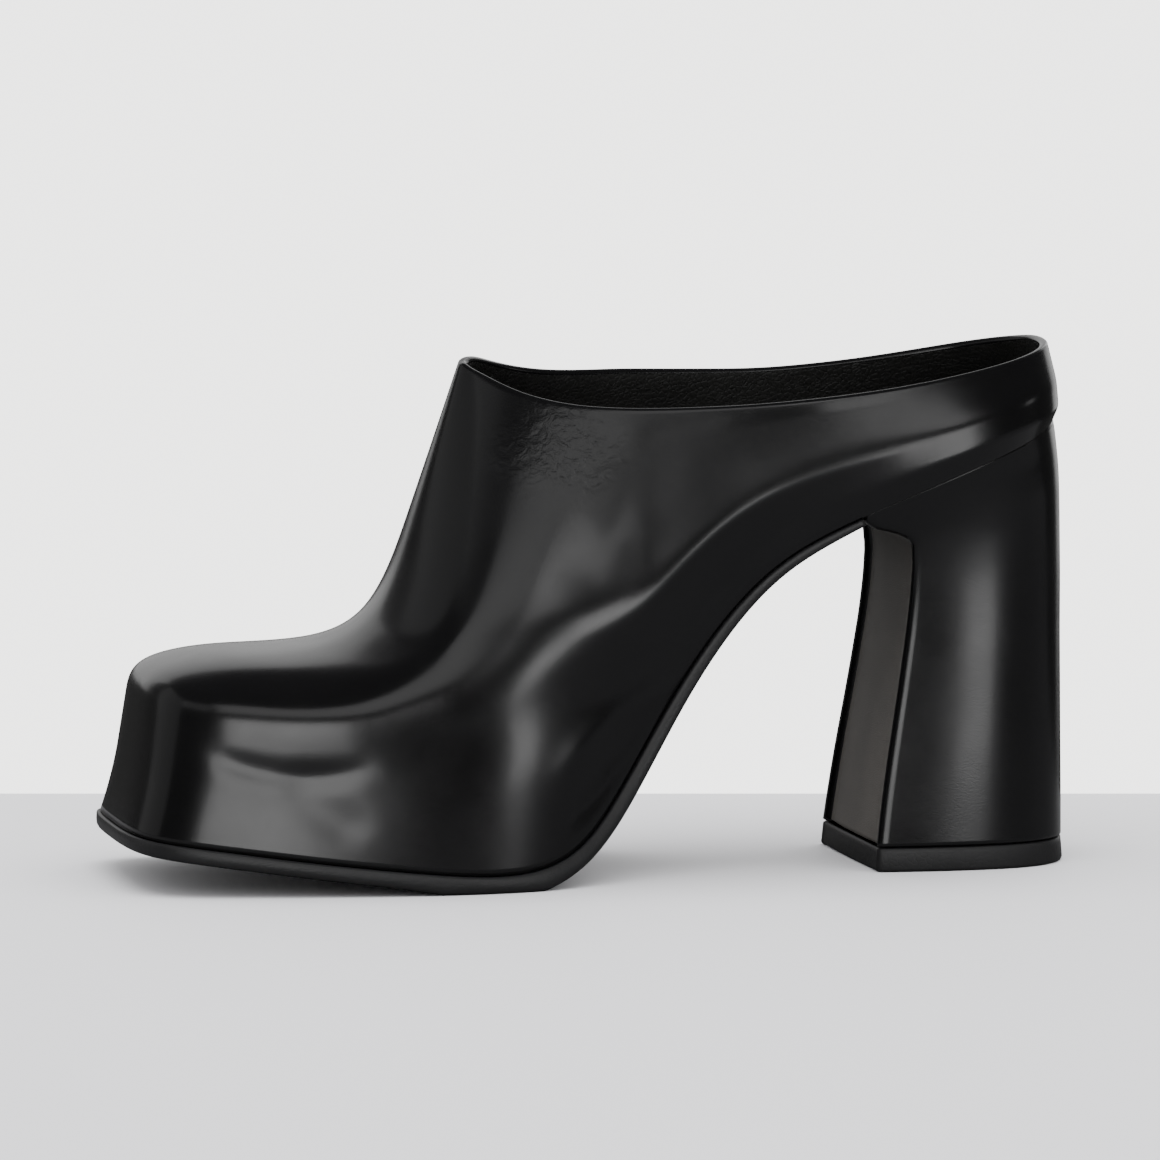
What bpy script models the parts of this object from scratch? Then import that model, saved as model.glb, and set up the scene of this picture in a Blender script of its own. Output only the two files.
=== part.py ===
"""Platform mule, left shoe: hollow upper, insole, platform, outsole, block heel and top piece.

Metres. +X runs from the heel to the toe, +Y to the outer side of the foot, +Z up. The shoe stands on z = 0.
"""

import bmesh
import bpy
import numpy as np

# Main sizes of the shoe
LENGTH = 0.2395
BALL_WIDTH = 0.090
HEEL_HEIGHT = 0.1105
TOE_SPRING = 0.0100
INSTEP_RISE = 0.1115
COLLAR_WIDTH = 0.060
INNER_LIFT = 0.0042

# Thicknesses and small sizes
WALL = 0.0022
TOE_FLARE = 0.0016
RIM_ROUND = 0.0006
TURNED_EDGE = 0.0008
OUTSOLE = 0.0042
SOLE_PROUD = 0.0009
SOLE_EDGE = 0.0007
INSOLE = 0.0028
FLAT_RUN = 0.62
FLAT_SPAN = 0.08
FLAT_DEPTH = 0.0021
GAP = 0.0003
HIDDEN_GAP = 0.0004
SEAT_GAP = 0.0006

# Heel block, its breast turned a little to the outer side
HEEL_LENGTH = 0.0525
HEEL_WIDTH = 0.0560
BREAST_TURN = 0.055
TOP_PIECE = 0.0060
LIFT_PROUD = 0.0003
BREAST_RECESS = 0.0014

# Shares that shape the sections: where the toe begins, how much of the sole's lean reaches the bend
# and where the flare starts to follow the toe
TOE_RUN = 0.9
BEND_LEAN = 0.6
FLARE_RUN = 0.95
FLARE_HALF = 0.5

# Dish of the footbed: half its width as a share of BALL_WIDTH, and the most that its edge rises
DISH_HALF = 0.4
DISH_LIMIT = 1.5

# Facets, and the points that a curve is read from
AROUND = 84
SIDE_STEPS = 7
ACROSS = 5
HEEL_STEPS = 17
SOLE_STEPS = 36
LINE_POINTS = 400
SMALL_STEP = 1e-4
SLOPE_STEP = 5e-4
SHARP_ANGLE = 50

# Sole line, shares chosen by hand: run of LENGTH, outer and inner of half BALL_WIDTH,
# lift of HEEL_HEIGHT, spring of TOE_SPRING, sole of OUTSOLE, flare of TOE_FLARE.
SOLE = [
    ("name", "run", "outer", "inner", "lift", "spring", "sole", "flare"),
    ("back", 0.010, 0.00, 0.00, 1.000, 0.00, 0.00, 0.00),
    ("back_turn", 0.016, 0.42, 0.42, 0.996, 0.00, 0.00, 0.00),
    ("seat_back", 0.070, 0.66, 0.66, 0.950, 0.00, 0.00, 0.00),
    ("seat", 0.160, 0.69, 0.69, 0.866, 0.00, 0.15, 0.00),
    ("breast", 0.240, 0.66, 0.65, 0.778, 0.00, 0.60, 0.00),
    ("arch", 0.315, 0.60, 0.58, 0.690, 0.00, 0.70, 0.00),
    ("shank", 0.375, 0.57, 0.53, 0.540, 0.00, 0.80, 0.00),
    ("waist", 0.425, 0.58, 0.54, 0.368, 0.00, 0.90, 0.00),
    ("turn", 0.475, 0.68, 0.64, 0.180, 0.00, 1.00, 0.00),
    ("ball_back", 0.530, 0.86, 0.82, 0.036, 0.00, 1.00, 0.00),
    ("ball", 0.610, 1.00, 0.94, -0.006, 0.00, 1.00, 0.00),
    ("joint", 0.710, 1.01, 0.95, 0.000, 0.15, 1.00, 0.00),
    ("toe_back", 0.810, 0.96, 0.92, 0.000, 0.42, 1.00, 0.30),
    ("toe_side", 0.900, 0.89, 0.87, 0.000, 0.72, 1.00, 0.60),
    ("toe_corner", 0.982, 0.79, 0.79, 0.000, 0.97, 1.00, 0.90),
    ("toe_turn", 0.999, 0.45, 0.45, 0.000, 1.04, 1.00, 1.00),
    ("toe", 1.000, 0.00, 0.00, 0.000, 1.05, 1.00, 1.00),
]

# Top of the side wall, shares chosen by hand: run of LENGTH, out of half BALL_WIDTH, up of the wall.
SHOULDER = [
    ("name", "run", "out", "up"),
    ("back", 0.002, 0.00, 0.220),
    ("back_turn", 0.010, 0.45, 0.220),
    ("seat_back", 0.066, 0.71, 0.240),
    ("seat", 0.160, 0.74, 0.240),
    ("breast", 0.240, 0.71, 0.240),
    ("arch", 0.314, 0.66, 0.240),
    ("shank", 0.374, 0.63, 0.220),
    ("waist", 0.424, 0.65, 0.220),
    ("turn", 0.474, 0.74, 0.260),
    ("ball_back", 0.530, 0.86, 0.340),
    ("ball", 0.610, 0.97, 0.365),
    ("joint", 0.705, 0.96, 0.336),
    ("toe_back", 0.800, 0.91, 0.320),
    ("toe_side", 0.878, 0.83, 0.316),
    ("toe_corner", 0.947, 0.71, 0.334),
    ("toe_turn", 0.969, 0.40, 0.350),
    ("toe", 0.970, 0.00, 0.352),
]

# Bend where the top of the foot rises to the collar, same shares, and how far the top swells before it.
BEND = [
    ("name", "run", "out", "up", "swell"),
    ("back", 0.004, 0.00, 0.550, 0.00),
    ("back_turn", 0.012, 0.44, 0.550, 0.00),
    ("seat_back", 0.068, 0.70, 0.550, 0.00),
    ("seat", 0.160, 0.73, 0.550, 0.00),
    ("breast", 0.240, 0.74, 0.520, 0.00),
    ("arch", 0.312, 0.75, 0.520, 0.00),
    ("shank", 0.370, 0.78, 0.530, 0.00),
    ("waist", 0.418, 0.80, 0.520, 0.00),
    ("turn", 0.465, 0.82, 0.520, 0.00),
    ("ball_back", 0.518, 0.84, 0.550, 0.00),
    ("ball", 0.585, 0.84, 0.620, 0.05),
    ("joint", 0.655, 0.81, 0.560, 0.10),
    ("toe_back", 0.690, 0.73, 0.468, 0.20),
    ("toe_side", 0.709, 0.55, 0.432, 0.40),
    ("toe_corner", 0.716, 0.34, 0.418, 0.75),
    ("toe_turn", 0.721, 0.15, 0.418, 0.90),
    ("toe", 0.722, 0.00, 0.418, 0.95),
]

# Collar, shares chosen by hand: run of LENGTH, half of half COLLAR_WIDTH, tall of INSTEP_RISE, and how
# much of INNER_LIFT the inner side has.
COLLAR = [
    ("name", "run", "half", "tall", "inner"),
    ("back", 0.011, 0.00, 0.167, 0.0),
    ("back_turn", 0.018, 0.46, 0.168, 0.0),
    ("seat_back", 0.070, 0.88, 0.189, 0.0),
    ("seat", 0.165, 0.98, 0.227, 0.1),
    ("breast", 0.235, 1.00, 0.280, 0.2),
    ("arch", 0.295, 1.00, 0.355, 0.3),
    ("shank", 0.350, 0.98, 0.498, 0.6),
    ("waist", 0.400, 0.94, 0.665, 0.8),
    ("turn", 0.445, 0.88, 0.845, 1.0),
    ("ball_back", 0.490, 0.80, 0.978, 1.0),
    ("ball", 0.535, 0.70, 1.021, 1.0),
    ("joint", 0.575, 0.55, 1.021, 1.0),
    ("toe_back", 0.600, 0.40, 1.019, 0.9),
    ("toe_side", 0.617, 0.26, 1.011, 0.7),
    ("toe_corner", 0.628, 0.15, 0.999, 0.4),
    ("toe_turn", 0.633, 0.07, 1.001, 0.1),
    ("toe", 0.634, 0.00, 1.000, 0.0),
]

# How the control rings share out the three runs of each section; swell is a share of INSTEP_RISE.
WALL_RINGS = (0.0, 0.26, 0.52, 0.77, 1.0)
TOP_RINGS = ((0.32, 0.012), (0.66, -0.018), (1.0, 0.0))
RISE_RINGS = (0.42, 0.70, 0.90, 1.0)

# Rows of facets from the sole to the collar, closer over the shoulder and in the bend.
PLACES = (0.0, 0.08, 0.16, 0.24, 0.31, 0.36, 0.41, 0.46, 0.51, 0.56, 0.61, 0.66, 0.70, 0.74, 0.78, 0.83, 0.88, 0.94, 1.0)

# Footbed, shares chosen by hand: run of LENGTH, height of HEEL_HEIGHT, dish of BALL_WIDTH.
FOOTBED = [
    ("name", "run", "height", "dish"),
    ("back", 0.000, 1.052, 0.016),
    ("seat", 0.120, 0.955, 0.020),
    ("breast", 0.240, 0.835, 0.014),
    ("arch", 0.330, 0.742, 0.008),
    ("shank", 0.400, 0.640, 0.004),
    ("waist", 0.470, 0.520, 0.002),
    ("ball_back", 0.540, 0.415, 0.002),
    ("ball", 0.620, 0.350, 0.004),
    ("joint", 0.720, 0.326, 0.004),
    ("toe_back", 0.860, 0.330, 0.002),
    ("toe", 1.000, 0.350, 0.000),
]

# Heel block, level from the top piece (0) to the seat (1), front and back of HEEL_LENGTH,
# half of half HEEL_WIDTH, recess of BREAST_RECESS.
HEEL = [
    ("name", "level", "front", "back", "half", "recess"),
    ("foot", 0.00, 1.000, 0.000, 0.985, 1.0),
    ("foot_up", 0.10, 0.979, 0.000, 0.968, 1.0),
    ("flare", 0.22, 0.950, 0.002, 0.948, 1.0),
    ("low", 0.36, 0.911, 0.004, 0.925, 1.0),
    ("middle", 0.50, 0.872, 0.006, 0.908, 1.0),
    ("waist", 0.64, 0.837, 0.006, 0.896, 1.0),
    ("high", 0.74, 0.820, 0.009, 0.900, 1.0),
    ("neck", 0.81, 0.817, 0.012, 0.914, 1.0),
    ("curve", 0.865, 0.838, 0.016, 0.938, 0.8),
    ("flare_top", 0.905, 0.920, 0.021, 0.965, 0.5),
    ("lip", 0.94, 1.010, 0.028, 0.995, 0.2),
    ("lip_up", 0.975, 1.065, 0.037, 1.030, 0.05),
    ("seat", 1.00, 1.085, 0.046, 1.055, 0.0),
]

# Front corner of the heel block from its side to the recessed breast panel: back and inward are shares
# of HEEL_WIDTH, recess of the level's own recess.
CORNER = [
    ("name", "back", "inward", "recess"),
    ("turn", 0.018, 0.000, 0.0),
    ("ridge_side", 0.004, 0.011, 0.0),
    ("ridge", 0.000, 0.025, 0.0),
    ("ridge_in", 0.005, 0.043, 0.0),
    ("groove", 0.005, 0.055, 1.0),
    ("panel", 0.004, 0.143, 0.8),
    ("panel_middle", 0.000, 0.286, 0.7),
]

# Edge of the outsole from its top to its underside: inset and drop of SOLE_EDGE, level of OUTSOLE.
SOLE_CORNERS = [
    ("inset", "level", "drop"),
    (1, 0, 0),
    (0, 0, 1),
    (0, 1, -1),
    (1, 1, 0),
]

# Edge of the top piece: level of TOP_PIECE, and how many times LIFT_PROUD it stands out.
TOP_PIECE_EDGE = ((0.0, 0.0), (0.08, 1.0), (0.93, 0.0), (1.0, -1.0))

MATERIALS = [
    ("name", "red", "green", "blue", "roughness", "coat"),
    ("black_leather", 0.012, 0.012, 0.013, 0.36, 0.25),
    ("sock_leather", 0.016, 0.015, 0.015, 0.50, 0.0),
    ("wrapped_board", 0.020, 0.018, 0.016, 0.75, 0.0),
    ("black_rubber", 0.014, 0.014, 0.015, 0.52, 0.0),
    ("heel_leather", 0.012, 0.012, 0.013, 0.30, 0.30),
    ("lift_rubber", 0.013, 0.013, 0.014, 0.58, 0.0),
]


def rows(table):
    """Rows of a table as dictionaries, its first row holding the column names."""
    return [dict(zip(table[0], row)) for row in table[1:]]


def sole_control():
    """Control points (x, z) of the underside and of the feather edge, the second square off the first."""
    under = []
    for row in rows(SOLE):
        under.append([row["run"] * LENGTH, row["lift"] * HEEL_HEIGHT + row["spring"] * TOE_SPRING])
    under = np.array(under)
    edge = under.copy()
    last = len(under) - 1
    for k, row in enumerate(rows(SOLE)):
        slope = under[min(k + 1, last)] - under[max(k - 1, 0)]
        slope = slope / np.linalg.norm(slope)
        if row["run"] > TOE_RUN or k == 0:
            slope = np.array([1.0, 0.0])
        edge[k] += row["sole"] * OUTSOLE * np.array([-slope[1], slope[0]])
    return under, edge


def section_points(k, side):
    """Control points of one section from the feather edge over the shoulder to the collar."""
    sole = rows(SOLE)[k]
    shoulder = rows(SHOULDER)[k]
    bend = rows(BEND)[k]
    collar = rows(COLLAR)[k]
    x_edge, low = sole_control()[1][k]
    half = BALL_WIDTH / 2
    narrow = 1.0
    if side < 0 and sole["outer"] > 0:
        narrow = sole["inner"] / sole["outer"]
    top = low + collar["tall"] * INSTEP_RISE
    rim = top
    if side < 0:
        rim += INNER_LIFT * collar["inner"]
    shift = x_edge - sole["run"] * LENGTH
    start = np.array([x_edge, side * sole["outer"] * narrow * half, low])
    corner = np.array(
        [
            shoulder["run"] * LENGTH + shift,
            side * shoulder["out"] * narrow * half,
            low + shoulder["up"] * (top - low),
        ]
    )
    foot = np.array(
        [
            bend["run"] * LENGTH + shift * BEND_LEAN,
            side * bend["out"] * (1 + narrow) / 2 * half,
            low + bend["up"] * (top - low),
        ]
    )
    mouth = np.array([collar["run"] * LENGTH, side * collar["half"] * COLLAR_WIDTH / 2, rim])
    up = np.array([0.0, 0.0, INSTEP_RISE]) * bend["swell"]
    inward = np.array([0.5 * LENGTH - start[0], -start[1], 0.0])
    if side * start[1] > FLARE_HALF * half and sole["run"] < FLARE_RUN:
        inward[0] = 0.0
    turned = start + sole["flare"] * TOE_FLARE * unit(inward)
    points = [start]
    points += [turned + share * (corner - turned) for share in WALL_RINGS[1:]]
    points += [corner + share * (foot - corner) + swell * up for share, swell in TOP_RINGS]
    points += [foot + share * (mouth - foot) for share in RISE_RINGS]
    return np.array(points)


def control_net():
    """Control net (around, rings, xyz): outer side from back to toe, then inner side back again."""
    count = len(SOLE) - 1
    columns = [section_points(k, 1) for k in range(count)]
    columns += [section_points(k, -1) for k in range(count - 2, 0, -1)]
    return np.array(columns)


def around_matrix(count, places):
    """Weights of a closed uniform cubic spline at places from 0 to 1."""
    out = np.zeros((len(places), count))
    for i, place in enumerate(places):
        whole = (place % 1.0) * count
        k = int(np.floor(whole))
        t = whole - k
        weights = [(1 - t) ** 3, 3 * t**3 - 6 * t**2 + 4, -3 * t**3 + 3 * t**2 + 3 * t + 1, t**3]
        for j in range(4):
            out[i, (k - 1 + j) % count] += weights[j] / 6
    return out


def rise_matrix(count, places):
    """Weights of a clamped cubic spline at places from 0 to 1."""
    knots = np.concatenate([[0, 0, 0], np.linspace(0, 1, count - 2), [1, 1, 1]])
    out = np.zeros((len(places), count))
    for i, place in enumerate(places):
        t = min(max(place, 0), 1 - 1e-9)
        weights = [1.0 if knots[j] <= t < knots[j + 1] else 0.0 for j in range(len(knots) - 1)]
        for degree in range(1, 4):
            following = []
            for j in range(len(weights) - 1):
                left = knots[j + degree] - knots[j]
                right = knots[j + degree + 1] - knots[j + 1]
                value = 0.0
                if left > 0:
                    value += (t - knots[j]) / left * weights[j]
                if right > 0:
                    value += (knots[j + degree + 1] - t) / right * weights[j + 1]
                following.append(value)
            weights = following
        out[i] = weights
    return out


def unit(vectors):
    return vectors / np.maximum(np.linalg.norm(vectors, axis=-1, keepdims=True), 1e-12)


def upper_surface(around, rise):
    """Points and outward normals of the upper's outside at (around, rise), each as (around, rise, xyz)."""
    net = control_net()
    points = spline(net, around, rise)
    along = spline(net, around + SMALL_STEP, rise) - spline(net, around - SMALL_STEP, rise)
    low = np.clip(rise - SMALL_STEP, 0, 1)
    high = np.clip(rise + SMALL_STEP, 0, 1)
    upward = spline(net, around, high) - spline(net, around, low)
    normals = unit(np.cross(upward, along))
    return points, normals


def spline(net, around, rise):
    a = around_matrix(net.shape[0], around)
    b = rise_matrix(net.shape[1], rise)
    return np.einsum("ua,arc,tr->utc", a, net, b)


def sole_edge(around):
    """Feather edge points, underside points, outward and downward directions in the sole's own plane."""
    net = control_net()[:, 0, :]
    under_xz = sole_control()[0]
    count = len(under_xz)
    order = list(range(count)) + list(range(count - 2, 0, -1))
    under = net.copy()
    under[:, 0] = under_xz[order, 0]
    under[:, 2] = under_xz[order, 1]
    edge = around_matrix(len(net), around) @ net
    below = around_matrix(len(net), around) @ under
    flat = np.exp(-(((below[:, 0] / LENGTH - FLAT_RUN) / FLAT_SPAN) ** 2))
    below[:, 2] = np.maximum(below[:, 2] - FLAT_DEPTH * flat, 0.0)
    ahead = around_matrix(len(net), around + SMALL_STEP) @ net
    along = unit(ahead - around_matrix(len(net), around - SMALL_STEP) @ net)
    slope = sole_slope(edge[:, 0])
    upward = unit(np.stack([-slope, np.zeros(len(slope)), np.ones(len(slope))], axis=1))
    outward = unit(np.cross(along, upward))
    centre = np.stack([np.full(len(edge), 0.5 * LENGTH), np.zeros(len(edge)), edge[:, 2]], axis=1)
    if np.sum(outward * (edge - centre)) < 0:
        outward = -outward
    return edge, below, outward, upward


def sole_table():
    """The feather edge seen from the side, as rising x and its z."""
    net = control_net()[:, 0, :]
    edge = around_matrix(len(net), np.linspace(0, 0.5, LINE_POINTS)) @ net
    return edge[:, 0], edge[:, 2]


def sole_height(x):
    xs, zs = sole_table()
    return np.interp(x, xs, zs)


def sole_slope(x):
    xs, zs = sole_table()
    inside = np.clip(x, xs[0] + 2 * SLOPE_STEP, xs[-1] - 2 * SLOPE_STEP)
    rise = np.interp(inside + SLOPE_STEP, xs, zs) - np.interp(inside - SLOPE_STEP, xs, zs)
    return rise / (2 * SLOPE_STEP)


def smooth_table(table, key, value, place):
    """Monotone-looking smooth curve through a table's values at the given places."""
    xs = np.array([row[key] for row in rows(table)])
    ys = np.array([row[value] for row in rows(table)])
    slopes = np.gradient(ys, xs)
    place = np.clip(np.asarray(place, float), xs[0], xs[-1])
    k = np.clip(np.searchsorted(xs, place) - 1, 0, len(xs) - 2)
    width = xs[k + 1] - xs[k]
    t = (place - xs[k]) / width
    a = 2 * t**3 - 3 * t**2 + 1
    b = t**3 - 2 * t**2 + t
    c = -2 * t**3 + 3 * t**2
    d = t**3 - t**2
    return a * ys[k] + b * width * slopes[k] + c * ys[k + 1] + d * width * slopes[k + 1]


def footbed(x, y):
    """Height of the footbed, slightly dished across."""
    base = smooth_table(FOOTBED, "run", "height", x / LENGTH) * HEEL_HEIGHT
    dish = smooth_table(FOOTBED, "run", "dish", x / LENGTH) * BALL_WIDTH
    return base + dish * np.minimum((y / (DISH_HALF * BALL_WIDTH)) ** 2, DISH_LIMIT)


def add_object(name, vertices, faces, material):
    mesh = bpy.data.meshes.new(name)
    mesh.from_pydata([tuple(v) for v in vertices], [], faces)
    body = bmesh.new()
    body.from_mesh(mesh)
    bmesh.ops.remove_doubles(body, verts=body.verts, dist=1e-7)
    bmesh.ops.recalc_face_normals(body, faces=body.faces)
    if len({len(edge.link_faces) for edge in body.edges}) > 1:
        middle = LENGTH / 2
        outward = sum((face.calc_center_median().x - middle) * face.normal.x * face.calc_area() for face in body.faces)
        if outward < 0:
            bmesh.ops.reverse_faces(body, faces=body.faces)
    body.to_mesh(mesh)
    body.free()
    made = bpy.data.objects.new(name, mesh)
    mesh.materials.append(bpy.data.materials[material])
    mesh.shade_smooth()
    mesh.set_sharp_from_angle(angle=np.radians(SHARP_ANGLE))
    bpy.data.collections["platform_mule"].objects.link(made)
    return made


def ring_faces(first, second, closed=True):
    """Quads between two lists of vertex numbers."""
    count = len(first)
    steps = count if closed else count - 1
    return [(first[i], first[(i + 1) % count], second[(i + 1) % count], second[i]) for i in range(steps)]


def wall_grid():
    """Facet corners of the upper's outside (around, up, xyz), its lowest row standing square on the sole."""
    around = np.arange(AROUND) / AROUND
    outside = upper_surface(around, np.array(PLACES))[0]
    upward = sole_edge(around)[3]
    turned = outside[:, 0] + TURNED_EDGE * upward
    return np.concatenate([outside[:, :1], turned[:, None], outside[:, 1:]], axis=1)


def corner_normals(grid):
    """Outward normals at the grid's corners, each neighbouring facet weighted by its angle there."""
    total = np.zeros(grid.shape)
    ahead = np.roll(grid, -1, axis=0) - grid
    behind = np.roll(grid, 1, axis=0) - grid
    up = np.zeros(grid.shape)
    down = np.zeros(grid.shape)
    up[:, :-1] = grid[:, 1:] - grid[:, :-1]
    down[:, 1:] = grid[:, :-1] - grid[:, 1:]
    for first, second in ((up, ahead), (behind, up), (down, behind), (ahead, down)):
        normal = unit(np.cross(first, second))
        angle = np.arccos(np.clip(np.sum(unit(first) * unit(second), axis=-1), -1, 1))
        real = (np.linalg.norm(first, axis=-1) > 0) & (np.linalg.norm(second, axis=-1) > 0)
        total += normal * (angle * real)[..., None]
    return unit(total)


def upper_shell():
    """The hollow upper: its outside as an open band, thickened inward and rounded at the collar."""
    grid = wall_grid()
    profile = [grid[:, j] for j in range(grid.shape[1])]
    vertices = []
    rings = []
    for ring in profile:
        rings.append(list(range(len(vertices), len(vertices) + AROUND)))
        vertices += list(ring)
    faces = []
    for first, second in zip(rings, rings[1:]):
        faces += ring_faces(first, second)
    upper = add_object("upper", vertices, faces, "black_leather")
    weights = upper.data.attributes.new("bevel_weight_edge", "FLOAT", "EDGE")
    collar = set(rings[-1])
    for edge in upper.data.edges:
        weights.data[edge.index].value = 1.0 if set(edge.vertices) <= collar else 0.0
    wall = upper.modifiers.new("wall", "SOLIDIFY")
    wall.thickness = WALL
    wall.offset = -1.0
    rim = upper.modifiers.new("collar_rim", "BEVEL")
    rim.limit_method = "WEIGHT"
    rim.width = RIM_ROUND
    rim.segments = 1
    rim.offset_type = "OFFSET"


def inner_band(heights, depth):
    """Places where the skin set in from the upper's outside by depth crosses each height function."""
    grid = wall_grid()
    skin = grid - depth * corner_normals(grid)
    rise = np.linspace(0, 1, grid.shape[1])
    loops = []
    for height in heights:
        loop = []
        for i in range(AROUND):
            over = skin[i, :, 2] - height(skin[i, :, 0], skin[i, :, 1])
            k = int(np.argmax(over > 0))
            share = -over[k - 1] / (over[k] - over[k - 1])
            loop.append(rise[k - 1] + share * (rise[k] - rise[k - 1]))
        loops.append(np.array(loop))
    return rise, skin, loops


def skin_at(rise, skin, places):
    """Points on the skin at one place of rise for each column."""
    out = []
    for i, place in enumerate(places):
        out.append([np.interp(place, rise, skin[i, :, axis]) for axis in range(3)])
    return np.array(out)


def across_rows(loop, height, steps):
    """Rows of points across a loop, from each outer point to its inner partner, laid on the height."""
    count = len(loop)
    half = count // 2
    lines = []
    for i in range(half + 1):
        partner = (count - i) % count
        if partner == i:
            lines.append([loop[i]])
            continue
        line = []
        for j in range(steps + 1):
            share = j / steps
            point = loop[i] * (1 - share) + loop[partner] * share
            if 0 < j < steps:
                point = np.array([point[0], point[1], height(point[0], point[1])])
            line.append(point)
        lines.append(line)
    return lines


def cap(vertices, loop_numbers, lines):
    """Faces over a loop, its rows of points joined to the loop's own vertices."""
    count = len(loop_numbers)
    numbered = []
    for i, line in enumerate(lines):
        partner = (count - i) % count
        if len(line) == 1:
            numbered.append([loop_numbers[i]])
            continue
        numbers = [loop_numbers[i]]
        for point in line[1:-1]:
            numbers.append(len(vertices))
            vertices.append(point)
        numbers.append(loop_numbers[partner])
        numbered.append(numbers)
    faces = []
    for a, b in zip(numbered, numbered[1:]):
        if len(a) == 1:
            faces += [(a[0], b[j], b[j + 1]) for j in range(len(b) - 1)]
        elif len(b) == 1:
            faces += [(a[j], a[j + 1], b[0]) for j in range(len(a) - 1)]
        else:
            faces += [(a[j], a[j + 1], b[j + 1], b[j]) for j in range(len(a) - 1)]
    return faces


def filled_body(name, loops, low_height, high_height, material):
    """A closed body from a stack of loops, capped below and above."""
    vertices = []
    numbers = []
    for loop in loops:
        numbers.append(list(range(len(vertices), len(vertices) + len(loop))))
        vertices += list(loop)
    faces = []
    for first, second in zip(numbers, numbers[1:]):
        faces += ring_faces(first, second)
    faces += cap(vertices, numbers[0], across_rows(loops[0], low_height, ACROSS))
    faces += cap(vertices, numbers[-1], across_rows(loops[-1], high_height, ACROSS))
    add_object(name, vertices, faces, material)


def insole_pad():
    """The insole lies on the footbed and reaches the upper's lining all round."""

    def top(x, y):
        return footbed(x, y)

    def bottom(x, y):
        return footbed(x, y) - INSOLE

    rise, skin, (low, high) = inner_band([bottom, top], WALL + HIDDEN_GAP)
    loops = [skin_at(rise, skin, low), skin_at(rise, skin, high)]
    filled_body("insole", loops, bottom, top, "sock_leather")


def platform_block():
    """The platform under the insole, from the toe back to the heel seat."""

    def top(x, y):
        return footbed(x, y) - INSOLE - GAP

    def bottom(x, y):
        return sole_height(x) + GAP

    rise, skin, (high,) = inner_band([top], WALL + HIDDEN_GAP)
    upward = sole_edge(np.arange(AROUND) / AROUND)[3]
    loops = [skin[:, 0] + GAP * upward]
    for k in range(1, SIDE_STEPS + 1):
        share = k / SIDE_STEPS
        loops.append(skin_at(rise, skin, high * share))
    filled_body("platform", loops, bottom, top, "wrapped_board")


def sole_side(side):
    """Edge loops of the outsole on one side, from the heel's seat to the toe, top first."""
    places = np.linspace(0, 0.5, LINE_POINTS)
    turn = BREAST_TURN * rows(HEEL)[-1]["half"] * HEEL_WIDTH / 2 * seat_front() / HEEL_LENGTH
    first = float(np.interp(seat_front() - side * turn + SEAT_GAP, sole_edge(places)[0][:, 0], places))
    along = first + (0.5 - first) * np.linspace(0, 1, SOLE_STEPS)
    edge, below, outward, upward = sole_edge(along if side > 0 else 1 - along)
    edge = edge - GAP * upward
    loops = []
    for corner in rows(SOLE_CORNERS):
        share = corner["level"] + corner["drop"] * SOLE_EDGE / OUTSOLE
        loop = edge + (SOLE_PROUD - corner["inset"] * SOLE_EDGE) * outward + share * (below - edge)
        loop[:, 2] = np.maximum(loop[:, 2], 0.0)
        loops.append(loop)
    return loops


def outsole_sheet():
    """The outsole from the toe to the heel breast, its edge a little proud of the upper."""
    loops = sole_side(1)
    others = sole_side(-1)
    side = len(loops)
    vertices = []
    stacks = []
    for i in range(SOLE_STEPS):
        ring = [loop[i] for loop in loops]
        if i < SOLE_STEPS - 1:
            ring += [loop[i] for loop in reversed(others)]
        stacks.append(list(range(len(vertices), len(vertices) + len(ring))))
        vertices += ring
    faces = [tuple(stacks[0])]
    for a, b in zip(stacks[:-2], stacks[1:-1]):
        faces += ring_faces(a, b)
    before = stacks[-2]
    tip = stacks[-1]
    for k in range(side - 1):
        faces.append((before[k], before[k + 1], tip[k + 1], tip[k]))
        faces.append((before[2 * side - 1 - k], before[2 * side - 2 - k], tip[k + 1], tip[k]))
    faces.append((before[0], tip[0], before[2 * side - 1]))
    faces.append((before[side - 1], tip[side - 1], before[side]))
    add_object("outsole", vertices, faces, "black_rubber")


def heel_outline(front, back, half, recess, steps=HEEL_STEPS):
    """Half outline of the heel from the back centre along the side and across the breast to its middle."""
    places = np.linspace(0, 0.5, LINE_POINTS)
    edge = sole_edge(places)[0]
    end = float(np.interp(seat_front(), edge[:, 0], places))
    side = sole_edge(np.linspace(0, end, steps + 1))[0]
    run = (side[:, 0] - side[0, 0]) / (side[-1, 0] - side[0, 0])
    width = side[:, 1] / np.max(side[:, 1])
    turn, *corner = rows(CORNER)
    points = []
    for r, w in zip(run, width):
        points.append([back + (front - turn["back"] * HEEL_WIDTH - back) * r, half * w])
    corner_half = half * width[-1]
    for row in corner:
        depth = row["back"] * HEEL_WIDTH + row["recess"] * recess
        points.append([front - depth, corner_half - row["inward"] * HEEL_WIDTH])
    points.append([points[-1][0], 0.0])
    return np.array(points)


def seat_front():
    """Where the heel's seat ends and the outsole begins, along the shoe."""
    return rows(HEEL)[-1]["front"] * HEEL_LENGTH


def full_ring(outline, height):
    """Closed ring of points from a half outline, outer side first and then the inner side back."""
    inner = outline[-2:0:-1] * [1, -1]
    flat = np.concatenate([outline, inner])
    flat[:, 0] -= BREAST_TURN * flat[:, 1] * flat[:, 0] / HEEL_LENGTH
    return [np.array([x, y, z]) for (x, y), z in zip(flat, height(flat[:, 0]))]


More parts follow.
